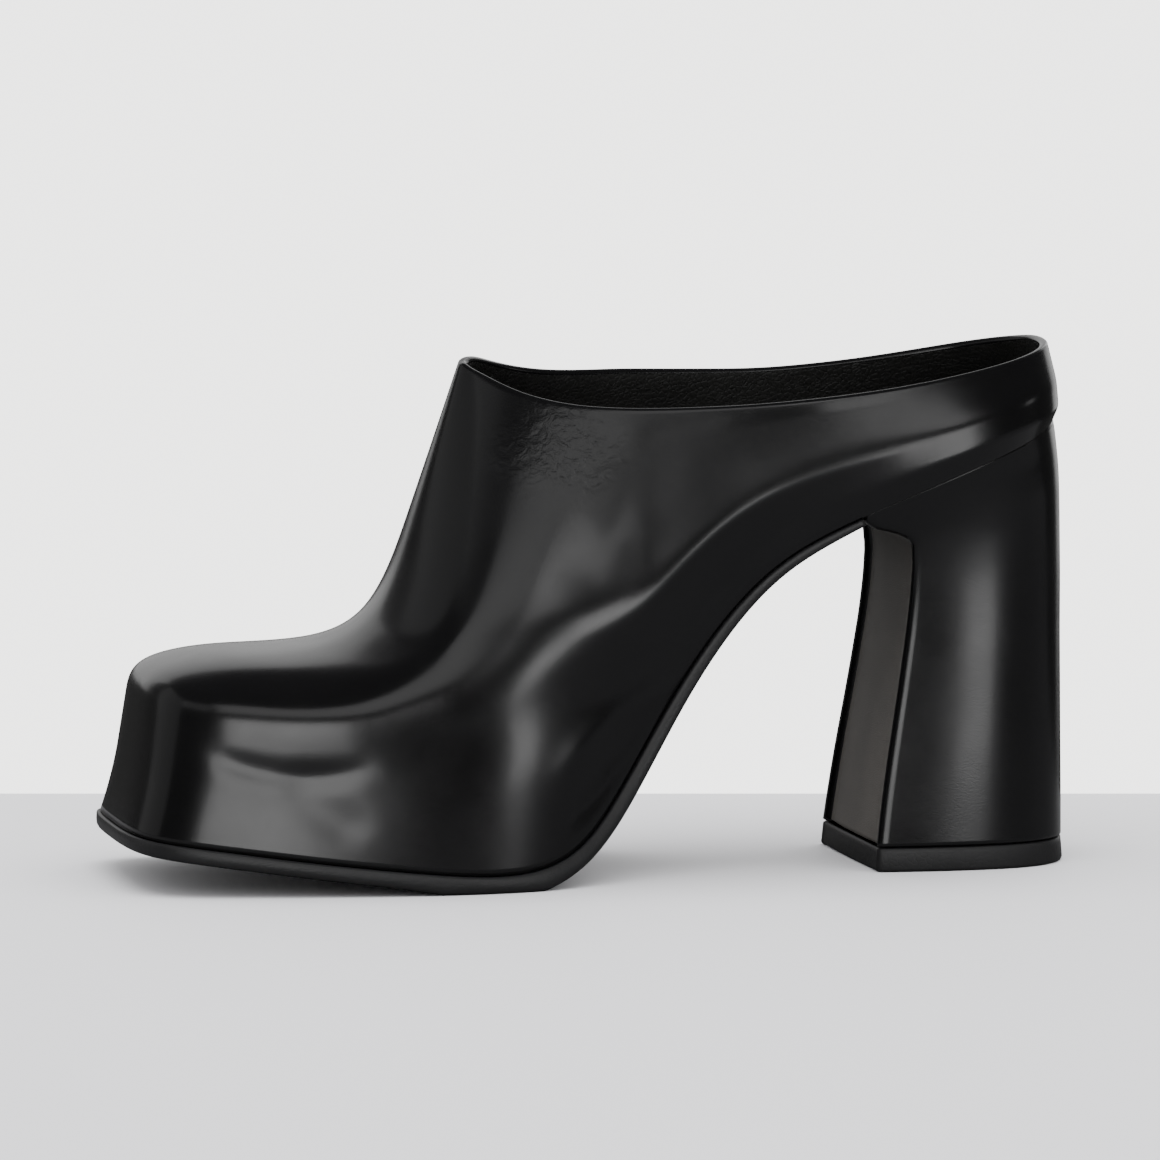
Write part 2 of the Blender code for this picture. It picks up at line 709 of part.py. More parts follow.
def stacked_body(name, rings, material):
    """A closed body from mirrored rings, its ends laid in strips across and one piece over the front."""
    count = len(rings[0])
    vertices = []
    numbers = []
    for ring in rings:
        numbers.append(list(range(len(vertices), len(vertices) + count)))
        vertices += ring
    faces = []
    for first, second in zip(numbers, numbers[1:]):
        faces += ring_faces(first, second)
    for ring in (numbers[0], numbers[-1]):
        faces.append((ring[0], ring[1], ring[count - 1]))
        for i in range(1, HEEL_STEPS):
            faces.append((ring[i], ring[i + 1], ring[count - i - 1], ring[count - i]))
        faces.append(tuple(ring[HEEL_STEPS : count - HEEL_STEPS + 1]))
    add_object(name, vertices, faces, material)


def heel_block():
    floor = TOP_PIECE + GAP
    rings = []
    for row in rows(HEEL):
        outline = heel_outline(
            row["front"] * HEEL_LENGTH,
            row["back"] * HEEL_LENGTH,
            row["half"] * HEEL_WIDTH / 2,
            row["recess"] * BREAST_RECESS,
        )

        def height(x, level=row["level"]):
            seat = sole_height(x) - GAP * np.sqrt(1 + sole_slope(x) ** 2)
            return floor + level * (seat - floor)

        rings.append(full_ring(outline, height))
    stacked_body("heel", rings, "heel_leather")


def top_piece_block():
    """The walking lift under the heel, its lower edge slightly wider."""
    base = rows(HEEL)[0]
    rings = []
    for level, proud in TOP_PIECE_EDGE:
        outline = heel_outline(
            base["front"] * HEEL_LENGTH + proud * LIFT_PROUD,
            base["back"] * HEEL_LENGTH - proud * LIFT_PROUD,
            base["half"] * HEEL_WIDTH / 2 + proud * LIFT_PROUD,
            0.0,
        )
        rings.append(full_ring(outline, lambda x, z=level * TOP_PIECE: np.full(len(x), z)))
    stacked_body("top_piece", rings, "lift_rubber")


def make_materials():
    for row in rows(MATERIALS):
        material = bpy.data.materials.new(row["name"])
        material.use_nodes = True
        shader = material.node_tree.nodes["Principled BSDF"]
        shader.inputs["Base Color"].default_value = (row["red"], row["green"], row["blue"], 1.0)
        shader.inputs["Roughness"].default_value = row["roughness"]
        shader.inputs["Coat Weight"].default_value = row["coat"]


def centre_parts(parts):
    """Puts the middle of the shoe's footprint on the origin, all pieces riding on one empty."""
    corners = [vertex.co for made in parts.objects for vertex in made.data.vertices]
    low = np.min(corners, axis=0)
    high = np.max(corners, axis=0)
    frame = bpy.data.objects.new("shoe_frame", None)
    frame.location = (-(low[0] + high[0]) / 2, -(low[1] + high[1]) / 2, -low[2])
    for made in parts.objects:
        made.parent = frame
    bpy.context.scene.collection.objects.link(frame)


def main():
    for old in list(bpy.data.objects):
        bpy.data.objects.remove(old, do_unlink=True)
    parts = bpy.data.collections.new("platform_mule")
    bpy.context.scene.collection.children.link(parts)
    make_materials()
    upper_shell()
    insole_pad()
    platform_block()
    outsole_sheet()
    heel_block()
    top_piece_block()
    centre_parts(parts)


main()
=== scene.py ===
"""Looks of the platform mule: black leather over platform and heel, lining, padded insole and rubber sole.

Metres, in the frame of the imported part: +X to the toe, +Y to the outer side of the left foot, +Z up.
"""

import math

import bmesh
import bpy
import numpy as np
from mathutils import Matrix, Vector


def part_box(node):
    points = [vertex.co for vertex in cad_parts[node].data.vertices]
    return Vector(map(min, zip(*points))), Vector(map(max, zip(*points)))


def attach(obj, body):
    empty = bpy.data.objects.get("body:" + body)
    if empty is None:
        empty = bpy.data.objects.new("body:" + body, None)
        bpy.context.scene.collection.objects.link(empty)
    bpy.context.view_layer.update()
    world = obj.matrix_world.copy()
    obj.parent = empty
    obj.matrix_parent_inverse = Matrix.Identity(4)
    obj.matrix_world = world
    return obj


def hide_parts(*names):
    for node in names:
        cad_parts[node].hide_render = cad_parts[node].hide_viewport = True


# Main sizes of the shoe, as in the part's own source
LENGTH = 0.2395
BALL_WIDTH = 0.090
HEEL_HEIGHT = 0.1105
TOE_SPRING = 0.0100
INSTEP_RISE = 0.1115
COLLAR_WIDTH = 0.060
INNER_LIFT = 0.0042
WALL = 0.0022
TOE_FLARE = 0.0016
OUTSOLE = 0.0042
SOLE_PROUD = 0.0009
SOLE_EDGE = 0.0007
INSOLE = 0.0028
FLAT_RUN = 0.62
FLAT_SPAN = 0.08
FLAT_DEPTH = 0.0021
GAP = 0.0003
SEAT_GAP = 0.0006
TOE_RUN = 0.9
BEND_LEAN = 0.6
FLARE_RUN = 0.95
FLARE_HALF = 0.5
DISH_HALF = 0.4
DISH_LIMIT = 1.5
HEEL_LENGTH = 0.0525
HEEL_WIDTH = 0.0560
BREAST_TURN = 0.055
TOP_PIECE = 0.0060
LIFT_PROUD = 0.0003
BREAST_RECESS = 0.0014

# Fineness of the dressed pieces
AROUND = 440
UP = 160
LINING_UP = 40
RIM_STEPS = 8
HEEL_STEPS = 40
SOLE_STEPS = 240
LINE_POINTS = 400
SMALL_STEP = 1e-4
SLOPE_STEP = 5e-4

# View of the photograph, and the pale slab under the shoe: how far it reaches behind, in front and to the sides
VIEW_SIDE = 168.5
VIEW_RISE = 7.2
VIEW_DISTANCE = 5.0
VIEW_AIM = (0.0008, -0.0025, 0.0715)
FRAME_WIDTH = 0.288
SLAB_BEHIND = 0.1335
SLAB_FRONT = 0.55
SLAB_SIDE = 1.1
SLAB_THICK = 0.03

# Sole line, shares given: run of LENGTH, outer and inner of half BALL_WIDTH,
# lift of HEEL_HEIGHT, spring of TOE_SPRING, sole of OUTSOLE, flare of TOE_FLARE.
SOLE = [
    ("name", "run", "outer", "inner", "lift", "spring", "sole", "flare"),
    ("back", 0.010, 0.00, 0.00, 1.000, 0.00, 0.00, 0.00),
    ("back_turn", 0.016, 0.42, 0.42, 0.996, 0.00, 0.00, 0.00),
    ("seat_back", 0.070, 0.66, 0.66, 0.950, 0.00, 0.00, 0.00),
    ("seat", 0.160, 0.69, 0.69, 0.866, 0.00, 0.15, 0.00),
    ("breast", 0.240, 0.66, 0.65, 0.778, 0.00, 0.60, 0.00),
    ("arch", 0.315, 0.60, 0.58, 0.690, 0.00, 0.70, 0.00),
    ("shank", 0.375, 0.57, 0.53, 0.540, 0.00, 0.80, 0.00),
    ("waist", 0.425, 0.58, 0.54, 0.368, 0.00, 0.90, 0.00),
    ("turn", 0.475, 0.68, 0.64, 0.180, 0.00, 1.00, 0.00),
    ("ball_back", 0.530, 0.86, 0.82, 0.036, 0.00, 1.00, 0.00),
    ("ball", 0.610, 1.00, 0.94, -0.006, 0.00, 1.00, 0.00),
    ("joint", 0.710, 1.01, 0.95, 0.000, 0.15, 1.00, 0.00),
    ("toe_back", 0.810, 0.96, 0.92, 0.000, 0.42, 1.00, 0.30),
    ("toe_side", 0.900, 0.89, 0.87, 0.000, 0.72, 1.00, 0.60),
    ("toe_corner", 0.982, 0.79, 0.79, 0.000, 0.97, 1.00, 0.90),
    ("toe_turn", 0.999, 0.45, 0.45, 0.000, 1.04, 1.00, 1.00),
    ("toe", 1.000, 0.00, 0.00, 0.000, 1.05, 1.00, 1.00),
]

# Top of the side wall, shares given: run of LENGTH, out of half BALL_WIDTH, up of the wall.
SHOULDER = [
    ("name", "run", "out", "up"),
    ("back", 0.002, 0.00, 0.220),
    ("back_turn", 0.010, 0.45, 0.220),
    ("seat_back", 0.066, 0.71, 0.240),
    ("seat", 0.160, 0.74, 0.240),
    ("breast", 0.240, 0.71, 0.240),
    ("arch", 0.314, 0.66, 0.240),
    ("shank", 0.374, 0.63, 0.220),
    ("waist", 0.424, 0.65, 0.220),
    ("turn", 0.474, 0.74, 0.260),
    ("ball_back", 0.530, 0.86, 0.340),
    ("ball", 0.610, 0.97, 0.365),
    ("joint", 0.705, 0.96, 0.336),
    ("toe_back", 0.800, 0.91, 0.320),
    ("toe_side", 0.878, 0.83, 0.316),
    ("toe_corner", 0.947, 0.71, 0.334),
    ("toe_turn", 0.969, 0.40, 0.350),
    ("toe", 0.970, 0.00, 0.352),
]

# Bend where the top of the foot rises to the collar, same shares, and how far the top swells before it.
BEND = [
    ("name", "run", "out", "up", "swell"),
    ("back", 0.004, 0.00, 0.550, 0.00),
    ("back_turn", 0.012, 0.44, 0.550, 0.00),
    ("seat_back", 0.068, 0.70, 0.550, 0.00),
    ("seat", 0.160, 0.73, 0.550, 0.00),
    ("breast", 0.240, 0.74, 0.520, 0.00),
    ("arch", 0.312, 0.75, 0.520, 0.00),
    ("shank", 0.370, 0.78, 0.530, 0.00),
    ("waist", 0.418, 0.80, 0.520, 0.00),
    ("turn", 0.465, 0.82, 0.520, 0.00),
    ("ball_back", 0.518, 0.84, 0.550, 0.00),
    ("ball", 0.585, 0.84, 0.620, 0.05),
    ("joint", 0.655, 0.81, 0.560, 0.10),
    ("toe_back", 0.690, 0.73, 0.468, 0.20),
    ("toe_side", 0.709, 0.55, 0.432, 0.40),
    ("toe_corner", 0.716, 0.34, 0.418, 0.75),
    ("toe_turn", 0.721, 0.15, 0.418, 0.90),
    ("toe", 0.722, 0.00, 0.418, 0.95),
]

# Collar, shares given: run of LENGTH, half of half COLLAR_WIDTH, tall of INSTEP_RISE, and how
# much of INNER_LIFT the inner side has.
COLLAR = [
    ("name", "run", "half", "tall", "inner"),
    ("back", 0.011, 0.00, 0.167, 0.0),
    ("back_turn", 0.018, 0.46, 0.168, 0.0),
    ("seat_back", 0.070, 0.88, 0.189, 0.0),
    ("seat", 0.165, 0.98, 0.227, 0.1),
    ("breast", 0.235, 1.00, 0.280, 0.2),
    ("arch", 0.295, 1.00, 0.355, 0.3),
    ("shank", 0.350, 0.98, 0.498, 0.6),
    ("waist", 0.400, 0.94, 0.665, 0.8),
    ("turn", 0.445, 0.88, 0.845, 1.0),
    ("ball_back", 0.490, 0.80, 0.978, 1.0),
    ("ball", 0.535, 0.70, 1.021, 1.0),
    ("joint", 0.575, 0.55, 1.021, 1.0),
    ("toe_back", 0.600, 0.40, 1.019, 0.9),
    ("toe_side", 0.617, 0.26, 1.011, 0.7),
    ("toe_corner", 0.628, 0.15, 0.999, 0.4),
    ("toe_turn", 0.633, 0.07, 1.001, 0.1),
    ("toe", 0.634, 0.00, 1.000, 0.0),
]

# How the control rings share out the three runs of each section; swell is a share of INSTEP_RISE.
WALL_RINGS = (0.0, 0.26, 0.52, 0.77, 1.0)
TOP_RINGS = ((0.32, 0.012), (0.66, -0.018), (1.0, 0.0))
RISE_RINGS = (0.42, 0.70, 0.90, 1.0)

# Footbed, shares given: run of LENGTH, height of HEEL_HEIGHT, dish of BALL_WIDTH.
FOOTBED = [
    ("name", "run", "height", "dish"),
    ("back", 0.000, 1.052, 0.016),
    ("seat", 0.120, 0.955, 0.020),
    ("breast", 0.240, 0.835, 0.014),
    ("arch", 0.330, 0.742, 0.008),
    ("shank", 0.400, 0.640, 0.004),
    ("waist", 0.470, 0.520, 0.002),
    ("ball_back", 0.540, 0.415, 0.002),
    ("ball", 0.620, 0.350, 0.004),
    ("joint", 0.720, 0.326, 0.004),
    ("toe_back", 0.860, 0.330, 0.002),
    ("toe", 1.000, 0.350, 0.000),
]

# Heel block, level from the top piece (0) to the seat (1), front and back of HEEL_LENGTH,
# half of half HEEL_WIDTH, recess of BREAST_RECESS.
HEEL = [
    ("name", "level", "front", "back", "half", "recess"),
    ("foot", 0.00, 1.000, 0.000, 0.985, 1.0),
    ("foot_up", 0.10, 0.979, 0.000, 0.968, 1.0),
    ("flare", 0.22, 0.950, 0.002, 0.948, 1.0),
    ("low", 0.36, 0.911, 0.004, 0.925, 1.0),
    ("middle", 0.50, 0.872, 0.006, 0.908, 1.0),
    ("waist", 0.64, 0.837, 0.006, 0.896, 1.0),
    ("high", 0.74, 0.820, 0.009, 0.900, 1.0),
    ("neck", 0.81, 0.817, 0.012, 0.914, 1.0),
    ("curve", 0.865, 0.838, 0.016, 0.938, 0.8),
    ("flare_top", 0.905, 0.920, 0.021, 0.965, 0.5),
    ("lip", 0.94, 1.010, 0.028, 0.995, 0.2),
    ("lip_up", 0.975, 1.065, 0.037, 1.030, 0.05),
    ("seat", 1.00, 1.085, 0.046, 1.055, 0.0),
]

# Front corner of the heel block from its side to the recessed breast panel: back and inward are shares
# of HEEL_WIDTH, recess of the level's own recess.
CORNER = [
    ("name", "back", "inward", "recess"),
    ("turn", 0.018, 0.000, 0.0),
    ("ridge_side", 0.004, 0.011, 0.0),
    ("ridge", 0.000, 0.025, 0.0),
    ("ridge_in", 0.005, 0.043, 0.0),
    ("groove", 0.005, 0.055, 1.0),
    ("panel", 0.004, 0.143, 0.8),
    ("panel_middle", 0.000, 0.286, 0.7),
]

# Edge of the outsole from its top to its underside: inset and drop of SOLE_EDGE, level of OUTSOLE.
SOLE_CORNERS = [
    ("inset", "level", "drop"),
    (1, 0, 0),
    (0, 0, 1),
    (0, 1, -1),
    (1, 1, 0),
]


def rows(table):
    """Rows of a table as dictionaries, its first row holding the column names."""
    return [dict(zip(table[0], row)) for row in table[1:]]


def sole_control():
    """Control points (x, z) of the underside and of the feather edge, the second square off the first."""
    under = []
    for row in rows(SOLE):
        under.append([row["run"] * LENGTH, row["lift"] * HEEL_HEIGHT + row["spring"] * TOE_SPRING])
    under = np.array(under)
    edge = under.copy()
    last = len(under) - 1
    for k, row in enumerate(rows(SOLE)):
        slope = under[min(k + 1, last)] - under[max(k - 1, 0)]
        slope = slope / np.linalg.norm(slope)
        if row["run"] > TOE_RUN or k == 0:
            slope = np.array([1.0, 0.0])
        edge[k] += row["sole"] * OUTSOLE * np.array([-slope[1], slope[0]])
    return under, edge


def section_points(k, side):
    """Control points of one section from the feather edge over the shoulder to the collar."""
    sole = rows(SOLE)[k]
    shoulder = rows(SHOULDER)[k]
    bend = rows(BEND)[k]
    collar = rows(COLLAR)[k]
    x_edge, low = sole_control()[1][k]
    half = BALL_WIDTH / 2
    narrow = 1.0
    if side < 0 and sole["outer"] > 0:
        narrow = sole["inner"] / sole["outer"]
    top = low + collar["tall"] * INSTEP_RISE
    rim = top
    if side < 0:
        rim += INNER_LIFT * collar["inner"]
    shift = x_edge - sole["run"] * LENGTH
    start = np.array([x_edge, side * sole["outer"] * narrow * half, low])
    corner = np.array(
        [
            shoulder["run"] * LENGTH + shift,
            side * shoulder["out"] * narrow * half,
            low + shoulder["up"] * (top - low),
        ]
    )
    foot = np.array(
        [
            bend["run"] * LENGTH + shift * BEND_LEAN,
            side * bend["out"] * (1 + narrow) / 2 * half,
            low + bend["up"] * (top - low),
        ]
    )
    mouth = np.array([collar["run"] * LENGTH, side * collar["half"] * COLLAR_WIDTH / 2, rim])
    up = np.array([0.0, 0.0, INSTEP_RISE]) * bend["swell"]
    inward = np.array([0.5 * LENGTH - start[0], -start[1], 0.0])
    if side * start[1] > FLARE_HALF * half and sole["run"] < FLARE_RUN:
        inward[0] = 0.0
    turned = start + sole["flare"] * TOE_FLARE * unit(inward)
    points = [start]
    points += [turned + share * (corner - turned) for share in WALL_RINGS[1:]]
    points += [corner + share * (foot - corner) + swell * up for share, swell in TOP_RINGS]
    points += [foot + share * (mouth - foot) for share in RISE_RINGS]
    return np.array(points)


def control_net():
    """Control net (around, rings, xyz): outer side from back to toe, then inner side back again."""
    count = len(SOLE) - 1
    columns = [section_points(k, 1) for k in range(count)]
    columns += [section_points(k, -1) for k in range(count - 2, 0, -1)]
    return np.array(columns)


def around_matrix(count, places):
    """Weights of a closed uniform cubic spline at places from 0 to 1."""
    out = np.zeros((len(places), count))
    for i, place in enumerate(places):
        whole = (place % 1.0) * count
        k = int(np.floor(whole))
        t = whole - k
        weights = [(1 - t) ** 3, 3 * t**3 - 6 * t**2 + 4, -3 * t**3 + 3 * t**2 + 3 * t + 1, t**3]
        for j in range(4):
            out[i, (k - 1 + j) % count] += weights[j] / 6
    return out


def rise_matrix(count, places):
    """Weights of a clamped cubic spline at places from 0 to 1."""
    knots = np.concatenate([[0, 0, 0], np.linspace(0, 1, count - 2), [1, 1, 1]])
    out = np.zeros((len(places), count))
    for i, place in enumerate(places):
        t = min(max(place, 0), 1 - 1e-9)
        weights = [1.0 if knots[j] <= t < knots[j + 1] else 0.0 for j in range(len(knots) - 1)]
        for degree in range(1, 4):
            following = []
            for j in range(len(weights) - 1):
                left = knots[j + degree] - knots[j]
                right = knots[j + degree + 1] - knots[j + 1]
                value = 0.0
                if left > 0:
                    value += (t - knots[j]) / left * weights[j]
                if right > 0:
                    value += (knots[j + degree + 1] - t) / right * weights[j + 1]
                following.append(value)
            weights = following
        out[i] = weights
    return out


def unit(vectors):
    return vectors / np.maximum(np.linalg.norm(vectors, axis=-1, keepdims=True), 1e-12)


def upper_surface(around, rise):
    """Points and outward normals of the upper's outside at (around, rise), each as (around, rise, xyz)."""
    net = control_net()
    points = spline(net, around, rise)
    along = spline(net, around + SMALL_STEP, rise) - spline(net, around - SMALL_STEP, rise)
    low = np.clip(rise - SMALL_STEP, 0, 1)
    high = np.clip(rise + SMALL_STEP, 0, 1)
    upward = spline(net, around, high) - spline(net, around, low)
    normals = unit(np.cross(upward, along))
    return points, normals


def spline(net, around, rise):
    a = around_matrix(net.shape[0], around)
    b = rise_matrix(net.shape[1], rise)
    return np.einsum("ua,arc,tr->utc", a, net, b)


def sole_edge(around):
    """Feather edge points, underside points, outward and downward directions in the sole's own plane."""
    net = control_net()[:, 0, :]
    under_xz = sole_control()[0]
    count = len(under_xz)
    order = list(range(count)) + list(range(count - 2, 0, -1))
    under = net.copy()
    under[:, 0] = under_xz[order, 0]
    under[:, 2] = under_xz[order, 1]
    edge = around_matrix(len(net), around) @ net
    below = around_matrix(len(net), around) @ under
    flat = np.exp(-(((below[:, 0] / LENGTH - FLAT_RUN) / FLAT_SPAN) ** 2))
    below[:, 2] = np.maximum(below[:, 2] - FLAT_DEPTH * flat, 0.0)
    ahead = around_matrix(len(net), around + SMALL_STEP) @ net
    along = unit(ahead - around_matrix(len(net), around - SMALL_STEP) @ net)
    slope = sole_slope(edge[:, 0])
    upward = unit(np.stack([-slope, np.zeros(len(slope)), np.ones(len(slope))], axis=1))
    outward = unit(np.cross(along, upward))
    centre = np.stack([np.full(len(edge), 0.5 * LENGTH), np.zeros(len(edge)), edge[:, 2]], axis=1)
    if np.sum(outward * (edge - centre)) < 0:
        outward = -outward
    return edge, below, outward, upward


def sole_table():
    """The feather edge seen from the side, as rising x and its z."""
    net = control_net()[:, 0, :]
    edge = around_matrix(len(net), np.linspace(0, 0.5, LINE_POINTS)) @ net
    return edge[:, 0], edge[:, 2]


def sole_height(x):
    xs, zs = sole_table()
    return np.interp(x, xs, zs)


def sole_slope(x):
    xs, zs = sole_table()
    inside = np.clip(x, xs[0] + 2 * SLOPE_STEP, xs[-1] - 2 * SLOPE_STEP)
    rise = np.interp(inside + SLOPE_STEP, xs, zs) - np.interp(inside - SLOPE_STEP, xs, zs)
    return rise / (2 * SLOPE_STEP)


def smooth_table(table, key, value, place):
    """Monotone-looking smooth curve through a table's values at the given places."""
    xs = np.array([row[key] for row in rows(table)])
    ys = np.array([row[value] for row in rows(table)])
    slopes = np.gradient(ys, xs)
    place = np.clip(np.asarray(place, float), xs[0], xs[-1])
    k = np.clip(np.searchsorted(xs, place) - 1, 0, len(xs) - 2)
    width = xs[k + 1] - xs[k]
    t = (place - xs[k]) / width
    a = 2 * t**3 - 3 * t**2 + 1
    b = t**3 - 2 * t**2 + t
    c = -2 * t**3 + 3 * t**2
    d = t**3 - t**2
    return a * ys[k] + b * width * slopes[k] + c * ys[k + 1] + d * width * slopes[k + 1]


def footbed(x, y):
    """Height of the footbed, slightly dished across."""
    base = smooth_table(FOOTBED, "run", "height", x / LENGTH) * HEEL_HEIGHT
    dish = smooth_table(FOOTBED, "run", "dish", x / LENGTH) * BALL_WIDTH
    return base + dish * np.minimum((y / (DISH_HALF * BALL_WIDTH)) ** 2, DISH_LIMIT)


def heel_outline(front, back, half, recess, steps=HEEL_STEPS):
    """Half outline of the heel from the back centre along the side and across the breast to its middle."""
    places = np.linspace(0, 0.5, LINE_POINTS)
    edge = sole_edge(places)[0]
    end = float(np.interp(seat_front(), edge[:, 0], places))
    side = sole_edge(np.linspace(0, end, steps + 1))[0]
    run = (side[:, 0] - side[0, 0]) / (side[-1, 0] - side[0, 0])
    width = side[:, 1] / np.max(side[:, 1])
    turn, *corner = rows(CORNER)
    points = []
    for r, w in zip(run, width):
        points.append([back + (front - turn["back"] * HEEL_WIDTH - back) * r, half * w])
    corner_half = half * width[-1]
    for row in corner:
        depth = row["back"] * HEEL_WIDTH + row["recess"] * recess
        points.append([front - depth, corner_half - row["inward"] * HEEL_WIDTH])
    points.append([points[-1][0], 0.0])
    return np.array(points)


def seat_front():
    """Where the heel's seat ends and the outsole begins, along the shoe."""
    return rows(HEEL)[-1]["front"] * HEEL_LENGTH


def full_ring(outline, height):
    """Closed ring of points from a half outline, outer side first and then the inner side back."""
    inner = outline[-2:0:-1] * [1, -1]
    flat = np.concatenate([outline, inner])
    flat[:, 0] -= BREAST_TURN * flat[:, 1] * flat[:, 0] / HEEL_LENGTH
    return [np.array([x, y, z]) for (x, y), z in zip(flat, height(flat[:, 0]))]


def shoe_shift():
    """Where the part's own frame puts the back of the heel and the shoe's middle line."""
    low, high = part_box("top_piece")
    return np.array([low.x + LIFT_PROUD, (low.y + high.y) / 2, 0.0])


def new_piece(name, points, faces, materials, slots=None):
    """A smooth mesh object in the shoe's frame, with a material number for each face if given."""
    mesh = bpy.data.meshes.new(name)
    mesh.from_pydata((np.asarray(points) + SHIFT).tolist(), [], faces)
    for material in materials:
        mesh.materials.append(material)
    if slots is not None:
        mesh.polygons.foreach_set("material_index", slots)
    mesh.shade_smooth()
    piece = bpy.data.objects.new(name, mesh)
    bpy.context.scene.collection.objects.link(piece)
    return piece


def band(first, second, count, closed=True):
    """Quads between two rings of point numbers that start at first and second."""
    steps = count if closed else count - 1
    return [(first + i, first + (i + 1) % count, second + (i + 1) % count, second + i) for i in range(steps)]


def even_places(count, rise=0.35):
    """Places around the shoe whose points lie evenly along the wall at one height."""
    fine = np.linspace(0, 1, 2401)
    net = control_net()
    line = spline(net, fine, np.array([rise]))[:, 0]
    length = np.concatenate([[0], np.cumsum(np.linalg.norm(np.diff(line, axis=0), axis=1))])
    even = np.interp(np.linspace(0, length[-1], count, endpoint=False), length, fine)
    return 0.6 * even + 0.4 * np.linspace(0, 1, count, endpoint=False)


def smooth_step(low, high, value):
    t = np.clip((value - low) / (high - low), 0, 1)
    return t * t * (3 - 2 * t)


# Soft folds of the upper, seen from the side: side is 1 for the outer and -1 for the inner, x and z are shares of
# LENGTH and HEEL_HEIGHT at both ends, bow is how far the middle lies to the left of the run, as a share of
# HEEL_HEIGHT, and width and depth are metres. A ridge has a negative depth.
CREASES = [
    ("name", "side", "x0", "z0", "x1", "z1", "bow", "width", "depth"),
    ("toe_wave", 1, 0.765, 0.285, 0.925, 0.322, -0.030, 0.0032, 0.00040),
    ("toe_slant", 1, 0.775, 0.115, 0.845, 0.270, 0.000, 0.0060, 0.00025),
    ("foot_ridge", 1, 0.490, 0.640, 0.735, 0.425, -0.037, 0.0095, -0.00045),
    ("foot_hollow", 1, 0.470, 0.520, 0.750, 0.340, -0.040, 0.0100, 0.00080),
    ("quarter_ridge", 1, 0.480, 1.030, 0.497, 0.700, 0.000, 0.0055, -0.00018),
    ("quarter_hollow", 1, 0.450, 1.030, 0.476, 0.670, 0.000, 0.0065, 0.00020),
    ("arch_hollow", 1, 0.300, 1.040, 0.505, 0.560, 0.030, 0.0110, 0.00060),
    ("arch_ridge", 1, 0.160, 1.080, 0.460, 0.540, 0.030, 0.0140, -0.00020),
    ("shank_ridge", 1, 0.430, 0.450, 0.560, 0.250, 0.030, 0.0040, -0.00060),
    ("shank_hollow", 1, 0.440, 0.330, 0.550, 0.130, 0.000, 0.0045, 0.00060),
    ("pleat_low", 1, 0.553, 0.095, 0.532, 0.200, 0.000, 0.0012, 0.00022),
    ("pleat_middle", 1, 0.535, 0.125, 0.514, 0.235, 0.000, 0.0012, 0.00020),
    ("pleat_high", 1, 0.517, 0.165, 0.497, 0.270, 0.000, 0.0012, 0.00018),
    ("inner_ridge", -1, 0.490, 0.640, 0.735, 0.425, -0.037, 0.0080, -0.00055),
    ("inner_hollow", -1, 0.480, 0.520, 0.740, 0.330, -0.040, 0.0100, 0.00070),
    ("inner_wave", -1, 0.760, 0.250, 0.900, 0.330, -0.020, 0.0036, 0.00035),
    ("inner_waist", -1, 0.420, 0.460, 0.550, 0.240, 0.020, 0.0045, -0.00050),
    ("inner_arch", -1, 0.280, 1.040, 0.500, 0.560, 0.030, 0.0110, 0.00060),
]
# Share of the upper's height over which the folds come in above the feather edge and end below the collar
FOLD_FEET = (0.0, 0.05)
FOLD_HEADS = (0.93, 1.0)


def crease_depth(points, side_sign, rise):
    """How far each point sinks into the folds."""
    total = np.zeros(points.shape[:-1])
    x = points[..., 0]
    z = points[..., 2]
    for fold in rows(CREASES):
        start = np.array([fold["x0"] * LENGTH, fold["z0"] * HEEL_HEIGHT])
        end = np.array([fold["x1"] * LENGTH, fold["z1"] * HEEL_HEIGHT])
        run = end - start
        size = np.linalg.norm(run)
        along = ((x - start[0]) * run[0] + (z - start[1]) * run[1]) / size**2
        off = ((z - start[1]) * run[0] - (x - start[0]) * run[1]) / size
        middle = np.clip(along, 0, 1)
        off = off - fold["bow"] * HEEL_HEIGHT * 4 * middle * (1 - middle)
        fade = smooth_step(-0.15, 0.25, along) * (1 - smooth_step(0.75, 1.15, along))
        shape = np.exp(-((off / fold["width"]) ** 2))
        total += fold["depth"] * shape * fade * (side_sign == fold["side"])
    return total * smooth_step(*FOLD_FEET, rise) * (1 - smooth_step(*FOLD_HEADS, rise))


